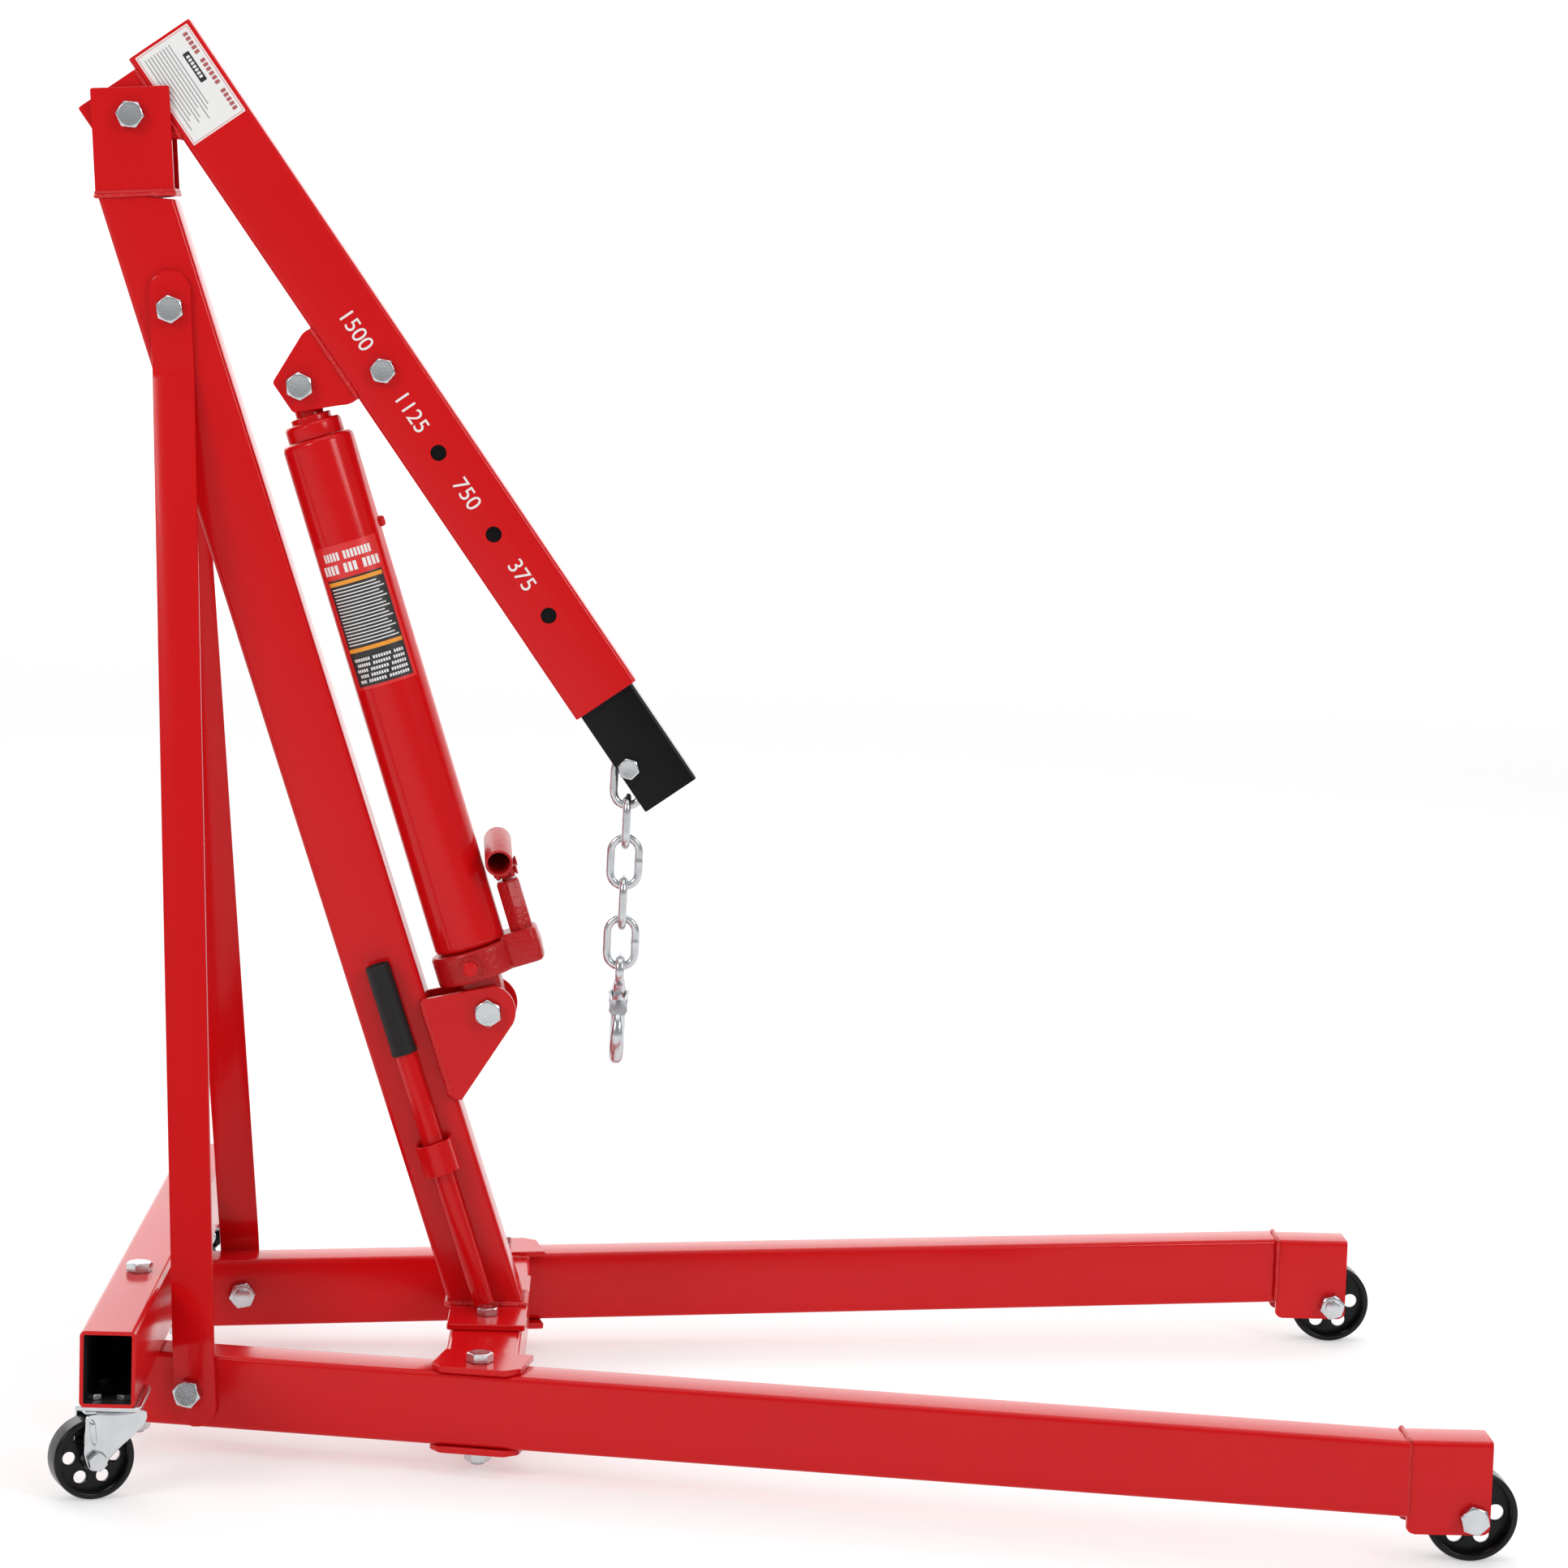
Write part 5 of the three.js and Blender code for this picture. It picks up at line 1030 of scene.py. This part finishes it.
strap = np.concatenate([[(-18, -25.3)], outer, [(18, -25.3), (15, -25.3)], inner, [(-15, -25.3)]])
piece("finished clip", [moved(plate(strap, 32, soft=0.6), shift(0, 0, 142))], MAST, RED, "frame_body",
      ["handle_clip"])
clip_beads = [weld([(x, -25.8, 143), (x, -25.8, 173)], 1.8, seed=61) for x in (-17.5, 17.5)]
piece("clip welds", clip_beads, MAST, WELD, "frame_body")

# %% [markdown]
# ## Labels and marks
# The boom carries a rating label and a numeral beside each lock hole, and the jack carries a
# label wrapped round its tube. Their print is generic: bars and blocks stand for words.


# %% Label sheets
def sheet(x0, x1, z0, z1, y, lift=0.12):
    """A thin raised rectangle facing -Y."""
    loop = rounded_rectangle(x1 - x0, z1 - z0, 0.8, 3)
    place = shift((x0 + x1) / 2, y - lift + 0.25, (z0 + z1) / 2) @ turn("x", 90)
    return moved(plate(loop, 0.25, soft=0.05), place)


def letter_row(start, end, count, gaps):
    """Equal cells from start to end; each filled cell is a block over seven tenths of its cell."""
    cell = (end - start) / count
    return [(start + k * cell, start + (k + 0.7) * cell) for k in range(count) if k not in gaps]


face = -20.0
piece("boom label sheet", [sheet(-42, 57, 33, 93, face)], BOOM, PAPER, "boom_body")
title = [sheet(s0, s1, 83.5, 88.5, face, 0.2) for s0, s1 in letter_row(-36, 52, 18, (5, 12))]
piece("boom label title", title, BOOM, FADED_INK, "boom_body")
border = [sheet(-40.4, 55.4, n, n + 0.5, face, 0.2) for n in (34.4, 91.1)]
border += [sheet(s0, s0 + 0.5, 34.4, 91.6, face, 0.2) for s0 in (-40.6, 55.1)]
piece("boom label border", border, BOOM, RED_INK, "boom_body")
piece("boom label block", [sheet(-20, 12, 72.5, 79.5, face, 0.2)], BOOM, DARK_INK, "boom_body")
row = [sheet(s0, s1, 74.2, 77.8, face, 0.28) for s0, s1 in letter_row(-16.5, 9, 7, ())]
piece("boom label block print", row, BOOM, PAPER, "boom_body")
bars = [sheet(-35, 44 - 6 * (k % 3) - 2 * (k % 2), 39 + 3.4 * k, 40.0 + 3.4 * k, face, 0.2) for k in range(9)]
piece("boom label print", bars, BOOM, INK, "boom_body")


def wrapped(z0, z1, start, end, radius, columns=24):
    """A patch on the jack's tube between two angles and two heights, with a thin wall behind it."""
    a = np.linspace(start, end, columns) - np.pi / 2
    rings = []
    for r in (radius, radius - 0.2):
        for z in (z0, z1):
            rings.append(np.stack([r * np.cos(a), r * np.sin(a), np.full_like(a, z)], -1))
    loop = lambda one, two: np.concatenate([one, two[::-1]])
    return carried_loops([loop(rings[0], rings[2]), loop(rings[1], rings[3])])


piece("jack label sheet", [wrapped(337, 480, -1.06, 0.92, R + 0.10)], JACK, RED_INK, "jack_body")
piece("jack label panel", [wrapped(340, 447, -0.93, 0.80, R + 0.17)], JACK, DARK_INK, "jack_body")
heading = [wrapped(465, 473, a0, a1, R + 0.2, 4) for a0, a1 in letter_row(-0.78, 0.66, 14, (5,))]
heading += [wrapped(452, 461, a0, a1, R + 0.2, 4) for a0, a1 in letter_row(-0.92, 0.84, 13, (4, 8))]
piece("jack label heading", heading, JACK, PAPER, "jack_body")
piece("jack label bands", [wrapped(z, z + 4, -0.90, 0.77, R + 0.22) for z in (441, 374)], JACK, AMBER_INK,
      "jack_body")
lines = []
for k, z in enumerate(np.arange(381, 438, 3.3)):
    lines.append(wrapped(z, z + 1.1, -0.84, 0.72 - 0.10 * (k % 3), R + 0.22))
for k, z in enumerate(np.arange(343, 370, 5.4)):
    cells = letter_row(-0.80 + 0.06 * (k % 2), 0.72, 20, (k + 3, k + 11))
    lines += [wrapped(z, z + 3.0, a0, a1, R + 0.22, 3) for a0, a1 in cells]
piece("jack label lines", lines, JACK, PAPER, "jack_body")


# %% Numerals beside the lock holes
def numeral(text, s, n, size):
    """A text turned into a mesh, drawn along the boom on its near side."""
    curve = bpy.data.curves.new("numeral", "FONT")
    curve.body = text
    curve.size = size
    curve.extrude = 0.1
    curve.align_x = "CENTER"
    curve.align_y = "CENTER"
    maker = bpy.data.objects.new("numeral", curve)
    bpy.context.scene.collection.objects.link(maker)
    bpy.context.view_layer.update()
    mesh = maker.to_mesh()
    points = np.empty(len(mesh.vertices) * 3)
    mesh.vertices.foreach_get("co", points)
    faces = [list(p.vertices) for p in mesh.polygons]
    maker.to_mesh_clear()
    bpy.data.objects.remove(maker)
    return moved((points.reshape(-1, 3), faces), shift(s, -20.05, n) @ turn("x", 90))


marks = [numeral(text, s, 62, 22) for text, s in (("1500", 288), ("1125", 383), ("750", 478), ("375", 573))]
piece("boom numerals", marks, BOOM, PAPER, "boom_body")

# %% [markdown]
# ## Stage, light and camera
# A pale floor, a pale wall behind and large soft lights give the broad pale reflections that
# glossy enamel shows in a studio. The camera is a long lens, level with the mast's upper half.

# %% Floor
bpy.ops.mesh.primitive_plane_add(size=40, location=(0, 0, -0.0005))
floor = bpy.context.object
floor.name = "studio_floor"
pale = bpy.data.materials.new("pale floor")
pale.use_nodes = True
pale.node_tree.nodes["Principled BSDF"].inputs["Base Color"].default_value = (0.55, 0.55, 0.55, 1)
pale.node_tree.nodes["Principled BSDF"].inputs["Roughness"].default_value = 0.9
pale.node_tree.nodes["Principled BSDF"].inputs["Emission Color"].default_value = (1, 1, 1, 1)
pale.node_tree.nodes["Principled BSDF"].inputs["Emission Strength"].default_value = 0.45
floor.data.materials.append(pale)
bpy.ops.mesh.primitive_plane_add(size=40, location=(0, 9, 0), rotation=(math.pi / 2, 0, 0))
backdrop = bpy.context.object
backdrop.name = "studio_backdrop"
glow = bpy.data.materials.new("white backdrop")
glow.use_nodes = True
glow.node_tree.nodes["Principled BSDF"].inputs["Emission Color"].default_value = (1, 1, 1, 1)
glow.node_tree.nodes["Principled BSDF"].inputs["Emission Strength"].default_value = 0.9
backdrop.data.materials.append(glow)


# %% Lights
def area_light(name, location, target, size, power):
    """A square soft light aimed at a point."""
    light = bpy.data.lights.new(name, "AREA")
    light.size = size
    light.energy = power
    obj = bpy.data.objects.new(name, light)
    obj.location = location
    obj.rotation_euler = (Vector(target) - Vector(location)).to_track_quat("-Z", "Y").to_euler()
    bpy.context.scene.collection.objects.link(obj)
    return obj


area_light("overhead", (0.0, -0.3, 4.2), (0, 0, 0.0), 4.0, 60)
area_light("front left", (-3.6, -3.6, 3.2), (0, 0, 0.5), 1.6, 78)
area_light("front right", (3.6, -3.6, 3.2), (0, 0, 0.5), 1.6, 78)
area_light("rear left", (-3.0, 3.6, 3.0), (0, 0, 0.5), 2.4, 35)
area_light("rear right", (3.0, 3.6, 3.0), (0, 0, 0.5), 2.4, 35)
world = bpy.data.worlds.new("studio")
bpy.context.scene.world = world
world.use_nodes = True
world.node_tree.nodes["Background"].inputs["Color"].default_value = (1, 1, 1, 1)
world.node_tree.nodes["Background"].inputs["Strength"].default_value = 0.36
bpy.context.scene.view_settings.view_transform = "Standard"

# %% Camera
YAW, PITCH, ROLL = 1.863, 6.471, 1.780
yaw, pitch, roll = (math.radians(v) for v in (YAW, PITCH, ROLL))
forward = np.array([math.sin(yaw) * math.cos(pitch), math.cos(yaw) * math.cos(pitch), -math.sin(pitch)])
level_right = np.array([math.cos(yaw), -math.sin(yaw), 0])
level_up = np.cross(level_right, forward)
right = math.cos(roll) * level_right + math.sin(roll) * level_up
up = -math.sin(roll) * level_right + math.cos(roll) * level_up
pose = np.eye(4)
pose[:3, :3] = np.column_stack([right, up, -forward])
pose[:3, 3] = (460.1, -4226.7, 1122.0)
world_pose = CRANE @ pose
world_pose[:3, 3] /= 1000
camera = bpy.data.objects.new("camera", bpy.data.cameras.new("camera"))
camera.data.sensor_width = 36
camera.data.lens = 99.41
camera.data.shift_x = 0.0032
camera.data.shift_y = 0.0003
camera.matrix_world = Matrix(world_pose.tolist())
bpy.context.scene.collection.objects.link(camera)
bpy.context.scene.camera = camera
